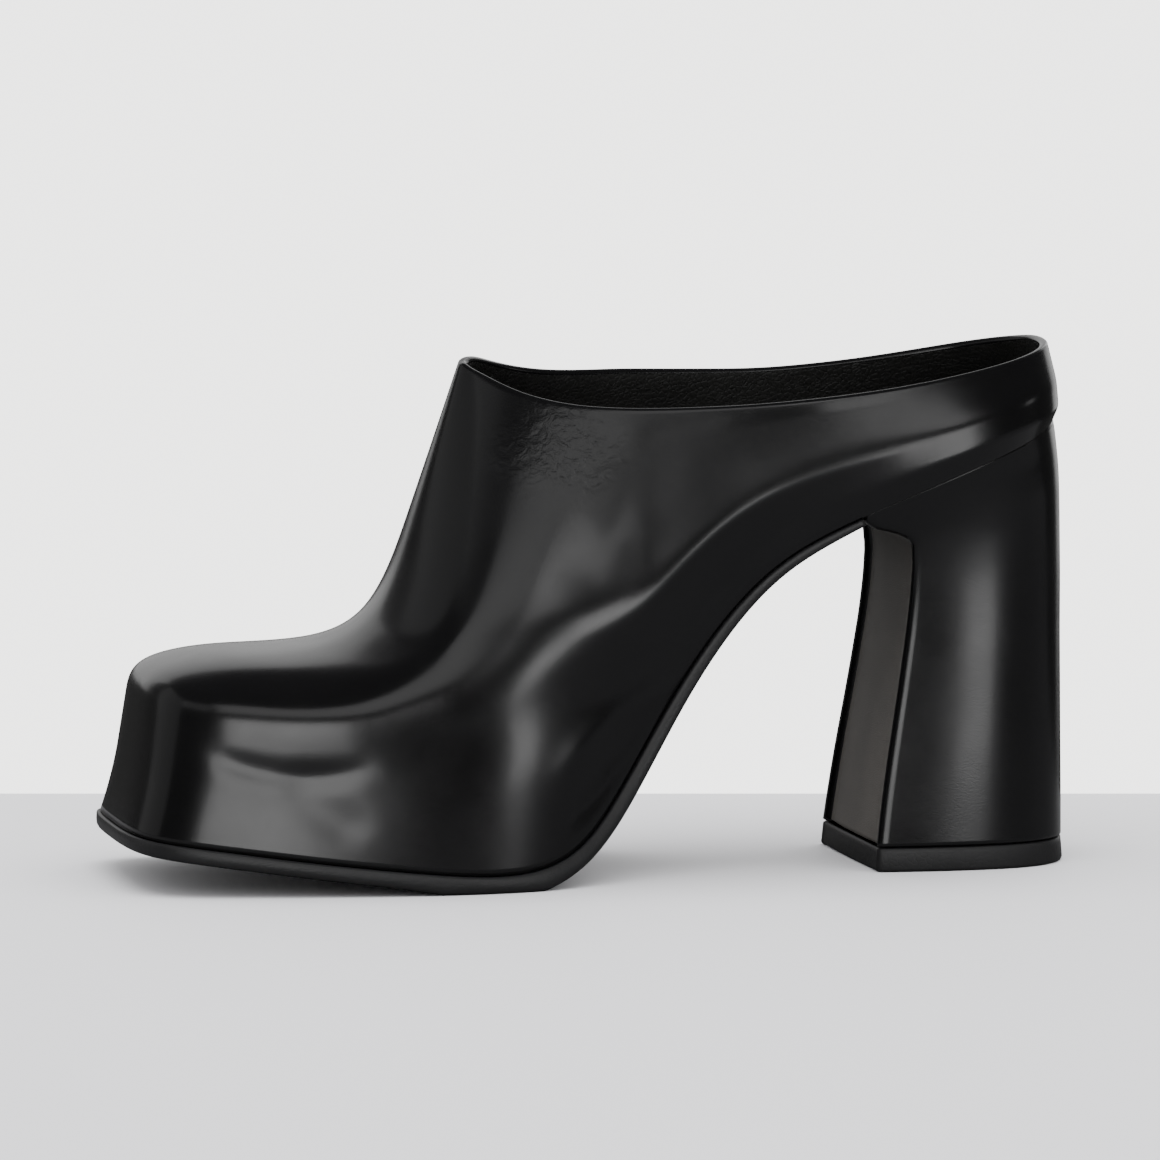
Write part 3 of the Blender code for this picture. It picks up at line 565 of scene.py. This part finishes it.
def build_upper(leather, lining):
    """The upper: creased outside, rounded collar edge and lining, one closed skin."""
    around = even_places(AROUND)
    rise = np.linspace(0, 1, UP + 1)
    outside, normals = upper_surface(around, rise)
    side = np.where(outside[..., 1] >= 0, 1, -1)
    pushed = outside - crease_depth(outside, side, rise)[..., None] * normals
    inner_rise = np.linspace(1, 0, LINING_UP + 1)
    skin, skin_normals = upper_surface(around, inner_rise)
    inside = skin - WALL * skin_normals
    inside[:, -1] = skin[:, -1] - WALL * sole_edge(around)[2]
    top = pushed[:, -1]
    half = (inside[:, 0] - top) / 2
    up = unit(pushed[:, -1] - pushed[:, -4]) * WALL * 0.42
    profile = [pushed[:, j] for j in range(UP + 1)]
    for k in range(1, RIM_STEPS):
        turn = math.pi * k / RIM_STEPS
        profile.append(top + half * (1 - math.cos(turn)) + up * math.sin(turn))
    profile += [inside[:, j] for j in range(LINING_UP + 1)]
    points = np.concatenate(profile)
    faces = []
    slots = []
    for k in range(len(profile)):
        faces += band(k * AROUND, ((k + 1) % len(profile)) * AROUND, AROUND)
        slots += [1 if UP + RIM_STEPS <= k < len(profile) - 1 else 0] * AROUND
    piece = new_piece("upper_leather", points, faces, [leather, lining], slots)
    tidy_mesh(piece)
    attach(piece, "root")
    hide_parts("upper")


# Edge of the outsole from its top to its underside: how far out of the upper's edge, and share of its thickness.
SOLE_PROFILE = (
    (-0.0040, 0.00),
    (0.0003, 0.00),
    (0.0007, 0.04),
    (0.0009, 0.14),
    (0.0010, 0.50),
    (0.0009, 0.80),
    (0.0006, 0.93),
    (0.0000, 1.00),
)


def sole_side(side):
    """Edge loops of the outsole on one side, from the heel's seat to the toe, top first."""
    places = np.linspace(0, 0.5, LINE_POINTS)
    turn = BREAST_TURN * rows(HEEL)[-1]["half"] * HEEL_WIDTH / 2 * seat_front() / HEEL_LENGTH
    first = float(np.interp(seat_front() - side * turn + SEAT_GAP, sole_edge(places)[0][:, 0], places))
    along = first + (0.5 - first) * np.linspace(0, 1, SOLE_STEPS)
    edge, below, outward, upward = sole_edge(along if side > 0 else 1 - along)
    edge = edge - GAP * upward
    loops = []
    for out, depth in SOLE_PROFILE:
        loop = edge + out * outward + depth * (below - edge)
        loop[:, 2] = np.maximum(loop[:, 2], 0.0)
        loops.append(loop)
    return loops


def build_outsole(rubber):
    """The outsole with its rounded edge, from the toe back to the heel breast."""
    near = sole_side(1)
    far = sole_side(-1)
    across = 12
    points = []
    for i in range(SOLE_STEPS):
        left = [loop[i] for loop in near]
        right = [loop[i] for loop in far]
        under = [left[-1] * (1 - k / across) + right[-1] * (k / across) for k in range(1, across)]
        over = [right[0] * (1 - k / across) + left[0] * (k / across) for k in range(1, across)]
        points += left + under + right[::-1] + over
    count = 2 * len(SOLE_PROFILE) + 2 * (across - 1)
    faces = [tuple(range(count))]
    for i in range(SOLE_STEPS - 1):
        faces += band(i * count, (i + 1) * count, count)
    piece = new_piece("outsole_rubber", points, faces, [rubber])
    tidy_mesh(piece)
    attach(piece, "root")
    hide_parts("outsole")


def tidy_mesh(piece):
    """Joins doubled points and turns every face outward."""
    body = bmesh.new()
    body.from_mesh(piece.data)
    bmesh.ops.remove_doubles(body, verts=body.verts, dist=2e-6)
    bmesh.ops.recalc_face_normals(body, faces=body.faces)
    body.to_mesh(piece.data)
    body.free()
    piece.data.shade_smooth()


def breast_slots(rings):
    """Material numbers of a stack's faces: 1 for the panel between the two folded corners, 0 for the rest."""
    count = len(rings[0])
    edge = HEEL_STEPS + 1 + [row["name"] for row in rows(CORNER)].index("groove")
    ring = [1 if edge - 1 <= i < count - edge + 1 else 0 for i in range(count)]
    return ring * (len(rings) - 1) + [0] * (2 * (HEEL_STEPS + 1))


def ring_stack(rings):
    """Faces of rings stacked up, with strips across both ends and one face over the front."""
    count = len(rings[0])
    faces = []
    for k in range(len(rings) - 1):
        faces += band(k * count, (k + 1) * count, count)
    for base in (0, (len(rings) - 1) * count):
        faces.append((base, base + 1, base + count - 1))
        for i in range(1, HEEL_STEPS):
            faces.append((base + i, base + i + 1, base + count - i - 1, base + count - i))
        faces.append(tuple(range(base + HEEL_STEPS, base + count - HEEL_STEPS + 1)))
    return faces


# What shows of the seam between the heel cover and the upper
SEAT_SEAM = 0.00006


def build_heel(leather, panel):
    """The covered block heel with its folded front corners and recessed breast."""
    floor = TOP_PIECE + GAP
    levels = [0.0, 0.004, 0.012, *np.linspace(0.03, 0.80, 34), *np.linspace(0.815, 0.985, 18), 0.994, 1.0]
    rings = []
    for level in levels:
        value = {key: float(smooth_table(HEEL, "level", key, level)) for key in ("front", "back", "half", "recess")}
        pinch = 0.0005 if level < 0.004 else 0.0
        outline = heel_outline(
            value["front"] * HEEL_LENGTH - pinch,
            value["back"] * HEEL_LENGTH + pinch,
            value["half"] * HEEL_WIDTH / 2 - pinch,
            value["recess"] * BREAST_RECESS,
        )

        def height(x, level=level):
            seat = sole_height(x) - SEAT_SEAM * np.sqrt(1 + sole_slope(x) ** 2)
            return floor + level * (seat - floor)

        rings.append(full_ring(outline, height))
    faces = ring_stack(rings)
    piece = new_piece("heel_cover", np.concatenate(rings), faces, [leather, panel], breast_slots(rings))
    tidy_mesh(piece)
    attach(piece, "root")
    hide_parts("heel")


# Edge of the heel's lift: level of TOP_PIECE, and how many times LIFT_PROUD it stands out.
LIFT_EDGE = ((0.0, -1.3), (0.05, 0.2), (0.15, 1.0), (0.80, 0.0), (0.95, -0.3), (1.0, -1.6))


def build_top_piece(rubber):
    """The walking lift under the heel."""
    base = rows(HEEL)[0]
    rings = []
    for level, proud in LIFT_EDGE:
        outline = heel_outline(
            base["front"] * HEEL_LENGTH + proud * LIFT_PROUD,
            base["back"] * HEEL_LENGTH - proud * LIFT_PROUD,
            base["half"] * HEEL_WIDTH / 2 + proud * LIFT_PROUD,
            0.0,
        )
        rings.append(full_ring(outline, lambda x, z=level * TOP_PIECE: np.full(len(x), z)))
    piece = new_piece("heel_lift", np.concatenate(rings), ring_stack(rings), [rubber])
    tidy_mesh(piece)
    piece.data.set_sharp_from_angle(angle=math.radians(50))
    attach(piece, "root")
    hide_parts("top_piece")


INSOLE_AROUND = 240
INSOLE_ACROSS = 24
# How far the insole's top edge is rolled: where it leaves the lining, and how far in it reaches the footbed
INSOLE_ROLL = 0.0009
INSOLE_TURN = 0.0012
LINING_GAP = 0.0002


def fill_ring(points, faces, first, ring, sink):
    """Fills a ring, whose points are numbered from first, with rows across it that lie under the footbed by sink."""
    count = len(ring)
    numbered = []
    for i in range(count // 2 + 1):
        partner = (count - i) % count
        line = [first + i]
        if partner != i:
            for k in range(1, INSOLE_ACROSS):
                share = k / INSOLE_ACROSS
                x, y, z = ring[i] * (1 - share) + ring[partner] * share
                line.append(len(points))
                points.append(np.array([x, y, float(footbed(np.array(x), np.array(y))) - sink]))
            line.append(first + partner)
        numbered.append(line)
    for a, b in zip(numbered, numbered[1:]):
        if len(a) == 1:
            faces += [(a[0], b[k], b[k + 1]) for k in range(len(b) - 1)]
        elif len(b) == 1:
            faces += [(a[k], a[k + 1], b[0]) for k in range(len(a) - 1)]
        else:
            faces += [(a[k], a[k + 1], b[k + 1], b[k]) for k in range(len(a) - 1)]


def build_insole(sock):
    """The padded insole, its edge rolled down where it meets the lining."""
    around = even_places(INSOLE_AROUND, 0.55)
    rise = np.linspace(0, 1, 161)
    skin, normals = upper_surface(around, rise)
    skin = skin - (WALL + LINING_GAP) * normals
    loops = []
    for sink in (INSOLE, INSOLE_ROLL, 0.0):
        loop = []
        for i in range(len(around)):
            over = skin[i, :, 2] - footbed(skin[i, :, 0], skin[i, :, 1]) + sink
            k = int(np.argmax(over > 0))
            share = -over[k - 1] / (over[k] - over[k - 1])
            loop.append(skin[i, k - 1] * (1 - share) + skin[i, k] * share)
        loops.append(np.array(loop))
    middle = loops[2].copy()
    middle[:, 1] = 0.0
    inner = loops[2] + unit(middle - loops[2]) * INSOLE_TURN
    inner[:, 2] = footbed(inner[:, 0], inner[:, 1])
    count = len(around)
    points = list(loops[0]) + list(loops[1]) + list(inner)
    faces = band(0, count, count) + band(count, 2 * count, count)
    fill_ring(points, faces, 0, loops[0], INSOLE)
    fill_ring(points, faces, 2 * count, inner, 0.0)
    piece = new_piece("insole_sock", points, faces, [sock])
    tidy_mesh(piece)
    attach(piece, "root")
    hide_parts("insole")


def new_group(name, inputs, outputs):
    """A shader node group with named float or colour sockets."""
    group = bpy.data.node_groups.new(name, "ShaderNodeTree")
    for socket, kind, value in inputs:
        made = group.interface.new_socket(socket, in_out="INPUT", socket_type=kind)
        made.default_value = value
    for socket, kind in outputs:
        group.interface.new_socket(socket, in_out="OUTPUT", socket_type=kind)
    return group, group.nodes.new("NodeGroupInput"), group.nodes.new("NodeGroupOutput")


def add_node(tree, kind, **values):
    """A node with its settings, and with socket values given as inputs={name: value}."""
    node = tree.nodes.new(kind)
    inputs = values.pop("inputs", {})
    for key, value in values.items():
        setattr(node, key, value)
    for key, value in inputs.items():
        node.inputs[key].default_value = value
    return node


# Where an edge counts as rubbed: Cycles' pointiness at which the wear begins and is full
EDGE_START = 0.53
EDGE_FULL = 0.62


def grain_group():
    """Leather grain: pores, wrinkles and worked folds as a height, a mottled and rubbed colour, a roughness."""
    group, given, out = new_group(
        "leather_grain",
        [
            ("Pore Size", "NodeSocketFloat", 0.0007),
            ("Wrinkle Size", "NodeSocketFloat", 0.004),
            ("Wrinkle", "NodeSocketFloat", 0.3),
            ("Pores", "NodeSocketFloat", 1.0),
            ("Worked", "NodeSocketFloat", 0.0),
            ("Work Depth", "NodeSocketFloat", 0.0),
            ("Dark", "NodeSocketColor", (0, 0, 0, 1)),
            ("Light", "NodeSocketColor", (0, 0, 0, 1)),
            ("Rubbed", "NodeSocketColor", (0, 0, 0, 1)),
            ("Wear", "NodeSocketFloat", 0.5),
            ("Smoothest", "NodeSocketFloat", 0.2),
            ("Roughest", "NodeSocketFloat", 0.3),
        ],
        [("Height", "NodeSocketFloat"), ("Colour", "NodeSocketColor"), ("Roughness", "NodeSocketFloat")],
    )
    link = group.links.new
    place = add_node(group, "ShaderNodeTexCoord")
    pore_scale = add_node(group, "ShaderNodeMath", operation="DIVIDE", inputs={0: 1.0})
    wrinkle_scale = add_node(group, "ShaderNodeMath", operation="DIVIDE", inputs={0: 1.0})
    bend = add_node(group, "ShaderNodeTexNoise", inputs={"Scale": 420.0, "Detail": 2.0})
    bent = add_node(group, "ShaderNodeMix", data_type="VECTOR", inputs={"Factor": 0.0015})
    cracks = add_node(group, "ShaderNodeTexVoronoi", feature="DISTANCE_TO_EDGE")
    edge = add_node(group, "ShaderNodeMapRange", inputs={"From Min": 0.0, "From Max": 0.16})
    link(given.outputs["Pore Size"], pore_scale.inputs[1])
    link(given.outputs["Wrinkle Size"], wrinkle_scale.inputs[1])
    link(place.outputs["Object"], bend.inputs["Vector"])
    link(place.outputs["Object"], bent.inputs["A"])
    link(bend.outputs["Color"], bent.inputs["B"])
    link(bent.outputs["Result"], cracks.inputs["Vector"])
    link(pore_scale.outputs[0], cracks.inputs["Scale"])
    link(cracks.outputs["Distance"], edge.inputs["Value"])

    wrinkle = add_node(group, "ShaderNodeTexNoise", inputs={"Detail": 5.0, "Roughness": 0.62, "Distortion": 0.6})
    ridge = add_node(group, "ShaderNodeMath", operation="MULTIPLY")
    total = add_node(group, "ShaderNodeMath", operation="MULTIPLY_ADD")
    link(place.outputs["Object"], wrinkle.inputs["Vector"])
    link(wrinkle_scale.outputs[0], wrinkle.inputs["Scale"])
    link(wrinkle.outputs["Fac"], ridge.inputs[0])
    link(given.outputs["Wrinkle"], ridge.inputs[1])
    link(edge.outputs["Result"], total.inputs[0])
    link(given.outputs["Pores"], total.inputs[1])
    link(ridge.outputs[0], total.inputs[2])

    folds = add_node(group, "ShaderNodeTexNoise", inputs={"Scale": 300.0, "Detail": 3.0, "Distortion": 1.2})
    worked = add_node(group, "ShaderNodeMath", operation="MULTIPLY")
    deep = add_node(group, "ShaderNodeMath", operation="MULTIPLY_ADD")
    link(place.outputs["Object"], folds.inputs["Vector"])
    link(folds.outputs["Fac"], worked.inputs[0])
    link(given.outputs["Worked"], worked.inputs[1])
    link(worked.outputs[0], deep.inputs[0])
    link(given.outputs["Work Depth"], deep.inputs[1])
    link(total.outputs[0], deep.inputs[2])
    link(deep.outputs[0], out.inputs["Height"])

    tone = add_node(group, "ShaderNodeTexNoise", inputs={"Scale": 34.0, "Detail": 4.0, "Roughness": 0.6})
    mottled = add_node(group, "ShaderNodeMix", data_type="RGBA")
    shape = add_node(group, "ShaderNodeNewGeometry")
    edges = add_node(group, "ShaderNodeMapRange", inputs={"From Min": EDGE_START, "From Max": EDGE_FULL})
    rubbed = add_node(group, "ShaderNodeMix", data_type="RGBA")
    rough = add_node(group, "ShaderNodeMapRange", inputs={"From Min": 0.3, "From Max": 0.7})
    link(place.outputs["Object"], tone.inputs["Vector"])
    link(tone.outputs["Fac"], mottled.inputs["Factor"])
    link(given.outputs["Dark"], mottled.inputs["A"])
    link(given.outputs["Light"], mottled.inputs["B"])
    link(shape.outputs["Pointiness"], edges.inputs["Value"])
    link(given.outputs["Wear"], edges.inputs["To Max"])
    link(edges.outputs["Result"], rubbed.inputs["Factor"])
    link(mottled.outputs["Result"], rubbed.inputs["A"])
    link(given.outputs["Rubbed"], rubbed.inputs["B"])
    link(rubbed.outputs["Result"], out.inputs["Colour"])
    link(tone.outputs["Fac"], rough.inputs["Value"])
    link(given.outputs["Smoothest"], rough.inputs["To Min"])
    link(given.outputs["Roughest"], rough.inputs["To Max"])
    link(rough.outputs["Result"], out.inputs["Roughness"])
    return group


def patch_group():
    """A soft patch on the object: 1 at its centre, falling to 0 over its size."""
    group, given, out = new_group(
        "worked_patch",
        [("Centre", "NodeSocketVector", (0, 0, 0)), ("Size", "NodeSocketVector", (1, 1, 1))],
        [("Mask", "NodeSocketFloat")],
    )
    place = add_node(group, "ShaderNodeTexCoord")
    away = add_node(group, "ShaderNodeVectorMath", operation="SUBTRACT")
    shares = add_node(group, "ShaderNodeVectorMath", operation="DIVIDE")
    ragged = add_node(group, "ShaderNodeTexNoise", inputs={"Scale": 110.0, "Detail": 3.0})
    far = add_node(group, "ShaderNodeVectorMath", operation="LENGTH")
    wide = add_node(group, "ShaderNodeMath", operation="ADD")
    mask = add_node(group, "ShaderNodeMapRange", interpolation_type="SMOOTHSTEP")
    mask.inputs["From Min"].default_value = 1.7
    mask.inputs["From Max"].default_value = 0.9
    link = group.links.new
    link(place.outputs["Object"], away.inputs[0])
    link(given.outputs["Centre"], away.inputs[1])
    link(away.outputs[0], shares.inputs[0])
    link(given.outputs["Size"], shares.inputs[1])
    link(shares.outputs[0], far.inputs[0])
    link(place.outputs["Object"], ragged.inputs["Vector"])
    link(far.outputs["Value"], wide.inputs[0])
    link(ragged.outputs["Fac"], wide.inputs[1])
    link(wide.outputs[0], mask.inputs["Value"])
    link(mask.outputs["Result"], out.inputs["Mask"])
    return group


def add_patch(material, patch, centre, size, strength):
    """Works small folds into the leather in one patch."""
    tree = material.node_tree
    skin = next(node for node in tree.nodes if node.type == "GROUP")
    mask = add_node(tree, "ShaderNodeGroup", node_tree=patch)
    mask.inputs["Centre"].default_value = centre
    mask.inputs["Size"].default_value = size
    tree.links.new(mask.outputs["Mask"], skin.inputs["Worked"])
    skin.inputs["Work Depth"].default_value = strength


# How much darker and lighter than its colour a leather's mottled tone gets
MOTTLE_DARK = 0.55
MOTTLE_LIGHT = 1.45
RUBBED_COLOUR = (0.018, 0.017, 0.017)


def leather(name, grain, colour, finish):
    """A leather or rubber with its own grain, mottled tone and rubbed edges, as finish says."""
    material = bpy.data.materials.new(name)
    material.use_nodes = True
    tree = material.node_tree
    shader = tree.nodes["Principled BSDF"]
    shader.inputs["Coat Weight"].default_value = finish["coat"]
    shader.inputs["Coat Roughness"].default_value = finish["coat_roughness"]
    shader.inputs["Specular IOR Level"].default_value = finish["specular"]
    skin = add_node(tree, "ShaderNodeGroup", node_tree=grain)
    values = {
        "Pore Size": finish["pore"],
        "Wrinkle Size": finish["wrinkle_size"],
        "Wrinkle": finish["wrinkle"],
        "Pores": finish["pores"],
        "Dark": (*[MOTTLE_DARK * part for part in colour], 1.0),
        "Light": (*[MOTTLE_LIGHT * part for part in colour], 1.0),
        "Rubbed": (*RUBBED_COLOUR, 1.0),
        "Smoothest": finish["roughness"] - finish["spread"],
        "Roughest": finish["roughness"] + finish["spread"],
    }
    for socket, value in values.items():
        skin.inputs[socket].default_value = value
    bump = add_node(tree, "ShaderNodeBump", inputs={"Distance": finish["depth"], "Strength": 1.0})
    tree.links.new(skin.outputs["Colour"], shader.inputs["Base Color"])
    tree.links.new(skin.outputs["Roughness"], shader.inputs["Roughness"])
    tree.links.new(skin.outputs["Height"], bump.inputs["Height"])
    tree.links.new(bump.outputs["Normal"], shader.inputs["Normal"])
    return material


def floor_paint():
    """Pale matt paint that the leather mirrors more weakly than the camera sees it."""
    material = bpy.data.materials.new("pale_floor")
    material.use_nodes = True
    tree = material.node_tree
    shader = tree.nodes["Principled BSDF"]
    shader.inputs["Roughness"].default_value = 0.6
    shader.inputs["Specular IOR Level"].default_value = 0.2
    rays = add_node(tree, "ShaderNodeLightPath")
    tone = add_node(tree, "ShaderNodeMix", data_type="RGBA")
    tone.inputs["A"].default_value = (0.11, 0.11, 0.115, 1.0)
    tone.inputs["B"].default_value = (0.74, 0.74, 0.77, 1.0)
    tree.links.new(rays.outputs["Is Camera Ray"], tone.inputs["Factor"])
    tree.links.new(tone.outputs["Result"], shader.inputs["Base Color"])
    return material


def build_stage():
    """A pale slab under the shoe, square to the photograph's view."""
    body = bmesh.new()
    bmesh.ops.create_cube(body, size=1.0)
    for vertex in body.verts:
        vertex.co.x *= 2 * SLAB_SIDE
        vertex.co.y = SLAB_FRONT if vertex.co.y > 0 else -SLAB_BEHIND
        vertex.co.z = 0.0 if vertex.co.z > 0 else -SLAB_THICK
    mesh = bpy.data.meshes.new("slab")
    body.to_mesh(mesh)
    body.free()
    mesh.materials.append(floor_paint())
    slab = bpy.data.objects.new("slab", mesh)
    slab.rotation_euler = (0, 0, math.radians(VIEW_SIDE - 180))
    bpy.context.scene.collection.objects.link(slab)


# Soft boxes: side is measured from the outer side (+Y) towards the toe and rise from the floor, in degrees, the
# distance and size are metres, glow is the box's brightness, and mirrored says whether the leather shows it. A
# mirrored box lights nothing else, and the box over the shoe gives the light of the floor.
LIGHTS = [
    ("name", "side", "rise", "distance", "width", "height", "glow", "mirrored"),
    ("toe_box", 14, 6, 2.2, 0.86, 0.72, 4.2, True),
    ("heel_box", -26, 3, 0.52, 0.10, 0.15, 5.0, True),
    ("arch_box", -13, 27, 2.2, 0.40, 0.60, 2.8, True),
    ("vamp_box", 13, 36, 2.2, 1.20, 0.80, 1.3, True),
    ("throat_box", 60, 34, 2.2, 1.60, 0.60, 0.42, True),
    ("shank_box", -72, 14, 2.0, 0.40, 0.34, 1.2, True),
    ("room_toe", 110, 20, 2.4, 2.4, 1.8, 0.26, True),
    ("room_back", 185, 20, 2.4, 2.6, 1.6, 0.80, True),
    ("room_heel", -140, 12, 2.4, 1.2, 1.6, 1.00, True),
    ("over", 0, 85, 1.9, 2.4, 2.0, 3.5, False),
]
ROOM_GLOW = 0.06
SKY_GLOW = 1.5
BACKDROP_GLOW = 3.4


def build_lights():
    """The soft boxes, and a room that is dim in reflections and pale behind the shoe."""
    for row in rows(LIGHTS):
        lamp = bpy.data.lights.new(row["name"], "AREA")
        lamp.shape = "RECTANGLE"
        lamp.size = row["width"]
        lamp.size_y = row["height"]
        lamp.energy = row["glow"] * math.pi * row["width"] * row["height"]
        made = bpy.data.objects.new(row["name"], lamp)
        a = math.radians(row["side"])
        e = math.radians(row["rise"])
        way = Vector((math.sin(a) * math.cos(e), math.cos(a) * math.cos(e), math.sin(e)))
        made.location = Vector((0, 0, 0.05)) + way * row["distance"]
        made.rotation_euler = way.to_track_quat("Z", "Y").to_euler()
        made.visible_camera = False
        made.visible_glossy = row["mirrored"]
        made.visible_diffuse = not row["mirrored"]
        bpy.context.scene.collection.objects.link(made)
    world = bpy.data.worlds.new("room")
    world.use_nodes = True
    tree = world.node_tree
    rays = add_node(tree, "ShaderNodeLightPath")
    glow = add_node(tree, "ShaderNodeMapRange")
    glow.inputs["To Max"].default_value = BACKDROP_GLOW
    tree.links.new(rays.outputs["Is Camera Ray"], glow.inputs["Value"])
    sky = add_node(tree, "ShaderNodeMapRange")
    sky.inputs["To Min"].default_value = ROOM_GLOW
    sky.inputs["To Max"].default_value = SKY_GLOW
    tree.links.new(rays.outputs["Is Diffuse Ray"], sky.inputs["Value"])
    tree.links.new(sky.outputs["Result"], glow.inputs["To Min"])
    tree.nodes["Background"].inputs["Color"].default_value = (1, 0.995, 0.985, 1)
    tree.links.new(glow.outputs["Result"], tree.nodes["Background"].inputs["Strength"])
    bpy.context.scene.world = world


def build_camera():
    lens = bpy.data.cameras.new("photo_view")
    camera = bpy.data.objects.new("photo_view", lens)
    a = math.radians(VIEW_SIDE)
    e = math.radians(VIEW_RISE)
    back = Vector((math.sin(a) * math.cos(e), -math.cos(a) * math.cos(e), math.sin(e)))
    camera.location = Vector(VIEW_AIM) + back * VIEW_DISTANCE
    camera.rotation_euler = back.to_track_quat("Z", "Y").to_euler()
    lens.sensor_width = 36.0
    lens.lens = 36.0 * VIEW_DISTANCE / FRAME_WIDTH
    lens.clip_end = 40.0
    bpy.context.scene.collection.objects.link(camera)
    bpy.context.scene.camera = camera


UPPER_FINISH = {
    "roughness": 0.225,
    "spread": 0.04,
    "coat": 0.12,
    "coat_roughness": 0.12,
    "specular": 0.5,
    "pore": 0.0008,
    "wrinkle_size": 0.005,
    "wrinkle": 0.6,
    "pores": 0.3,
    "depth": 0.000012,
}
HEEL_FINISH = dict(UPPER_FINISH, wrinkle=0.45)
LINING_FINISH = dict(UPPER_FINISH, pores=1.0, roughness=0.50, coat=0.0, pore=0.0012, depth=0.00010)
SOCK_FINISH = dict(UPPER_FINISH, pores=1.0, roughness=0.50, coat=0.0, pore=0.0010, depth=0.00006)
RUBBER_FINISH = dict(UPPER_FINISH, pores=1.0, roughness=0.42, coat=0.0, pore=0.0016, wrinkle=0.3, depth=0.00002)
LIFT_FINISH = dict(RUBBER_FINISH, roughness=0.5)
PANEL_FINISH = dict(UPPER_FINISH, pores=1.0, roughness=0.52, coat=0.0, pore=0.0006, wrinkle=1.2, depth=0.00003)
PANEL_FINISH["wrinkle_size"] = 0.003
BOARD_FINISH = dict(UPPER_FINISH, pores=1.0, roughness=0.8, coat=0.0, pore=0.0014, depth=0.0001)
# Worked wrinkles under the throat on the outer side
PATCH_CENTRE = (0.0105, 0.0236, 0.1085)
PATCH_SIZE = (0.017, 0.020, 0.0135)
PATCH_STRENGTH = 22.0


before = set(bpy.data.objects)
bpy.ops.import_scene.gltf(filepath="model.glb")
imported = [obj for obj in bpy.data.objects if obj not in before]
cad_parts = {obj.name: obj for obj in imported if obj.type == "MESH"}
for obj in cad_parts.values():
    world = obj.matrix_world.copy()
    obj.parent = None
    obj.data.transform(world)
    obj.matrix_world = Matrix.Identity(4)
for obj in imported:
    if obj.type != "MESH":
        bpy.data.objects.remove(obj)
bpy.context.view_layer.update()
SHIFT = shoe_shift()
grain = grain_group()
black_leather = leather("black_leather", grain, (0.0026, 0.0026, 0.003), UPPER_FINISH)
add_patch(black_leather, patch_group(), PATCH_CENTRE, PATCH_SIZE, PATCH_STRENGTH)
lining_leather = leather("lining_leather", grain, (0.009, 0.009, 0.008), LINING_FINISH)
sock_leather = leather("sock_leather", grain, (0.010, 0.0095, 0.009), SOCK_FINISH)
heel_leather = leather("heel_leather", grain, (0.0022, 0.0022, 0.0026), HEEL_FINISH)
breast_leather = leather("breast_leather", grain, (0.105, 0.096, 0.088), PANEL_FINISH)
black_rubber = leather("black_rubber", grain, (0.012, 0.012, 0.013), RUBBER_FINISH)
lift_rubber = leather("lift_rubber", grain, (0.013, 0.013, 0.014), LIFT_FINISH)
wrapped_board = leather("wrapped_board", grain, (0.02, 0.018, 0.016), BOARD_FINISH)
build_upper(black_leather, lining_leather)
build_outsole(black_rubber)
build_heel(heel_leather, breast_leather)
build_top_piece(lift_rubber)
build_insole(sock_leather)
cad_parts["platform"].data.materials.clear()
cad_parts["platform"].data.materials.append(wrapped_board)
build_stage()
build_lights()
build_camera()
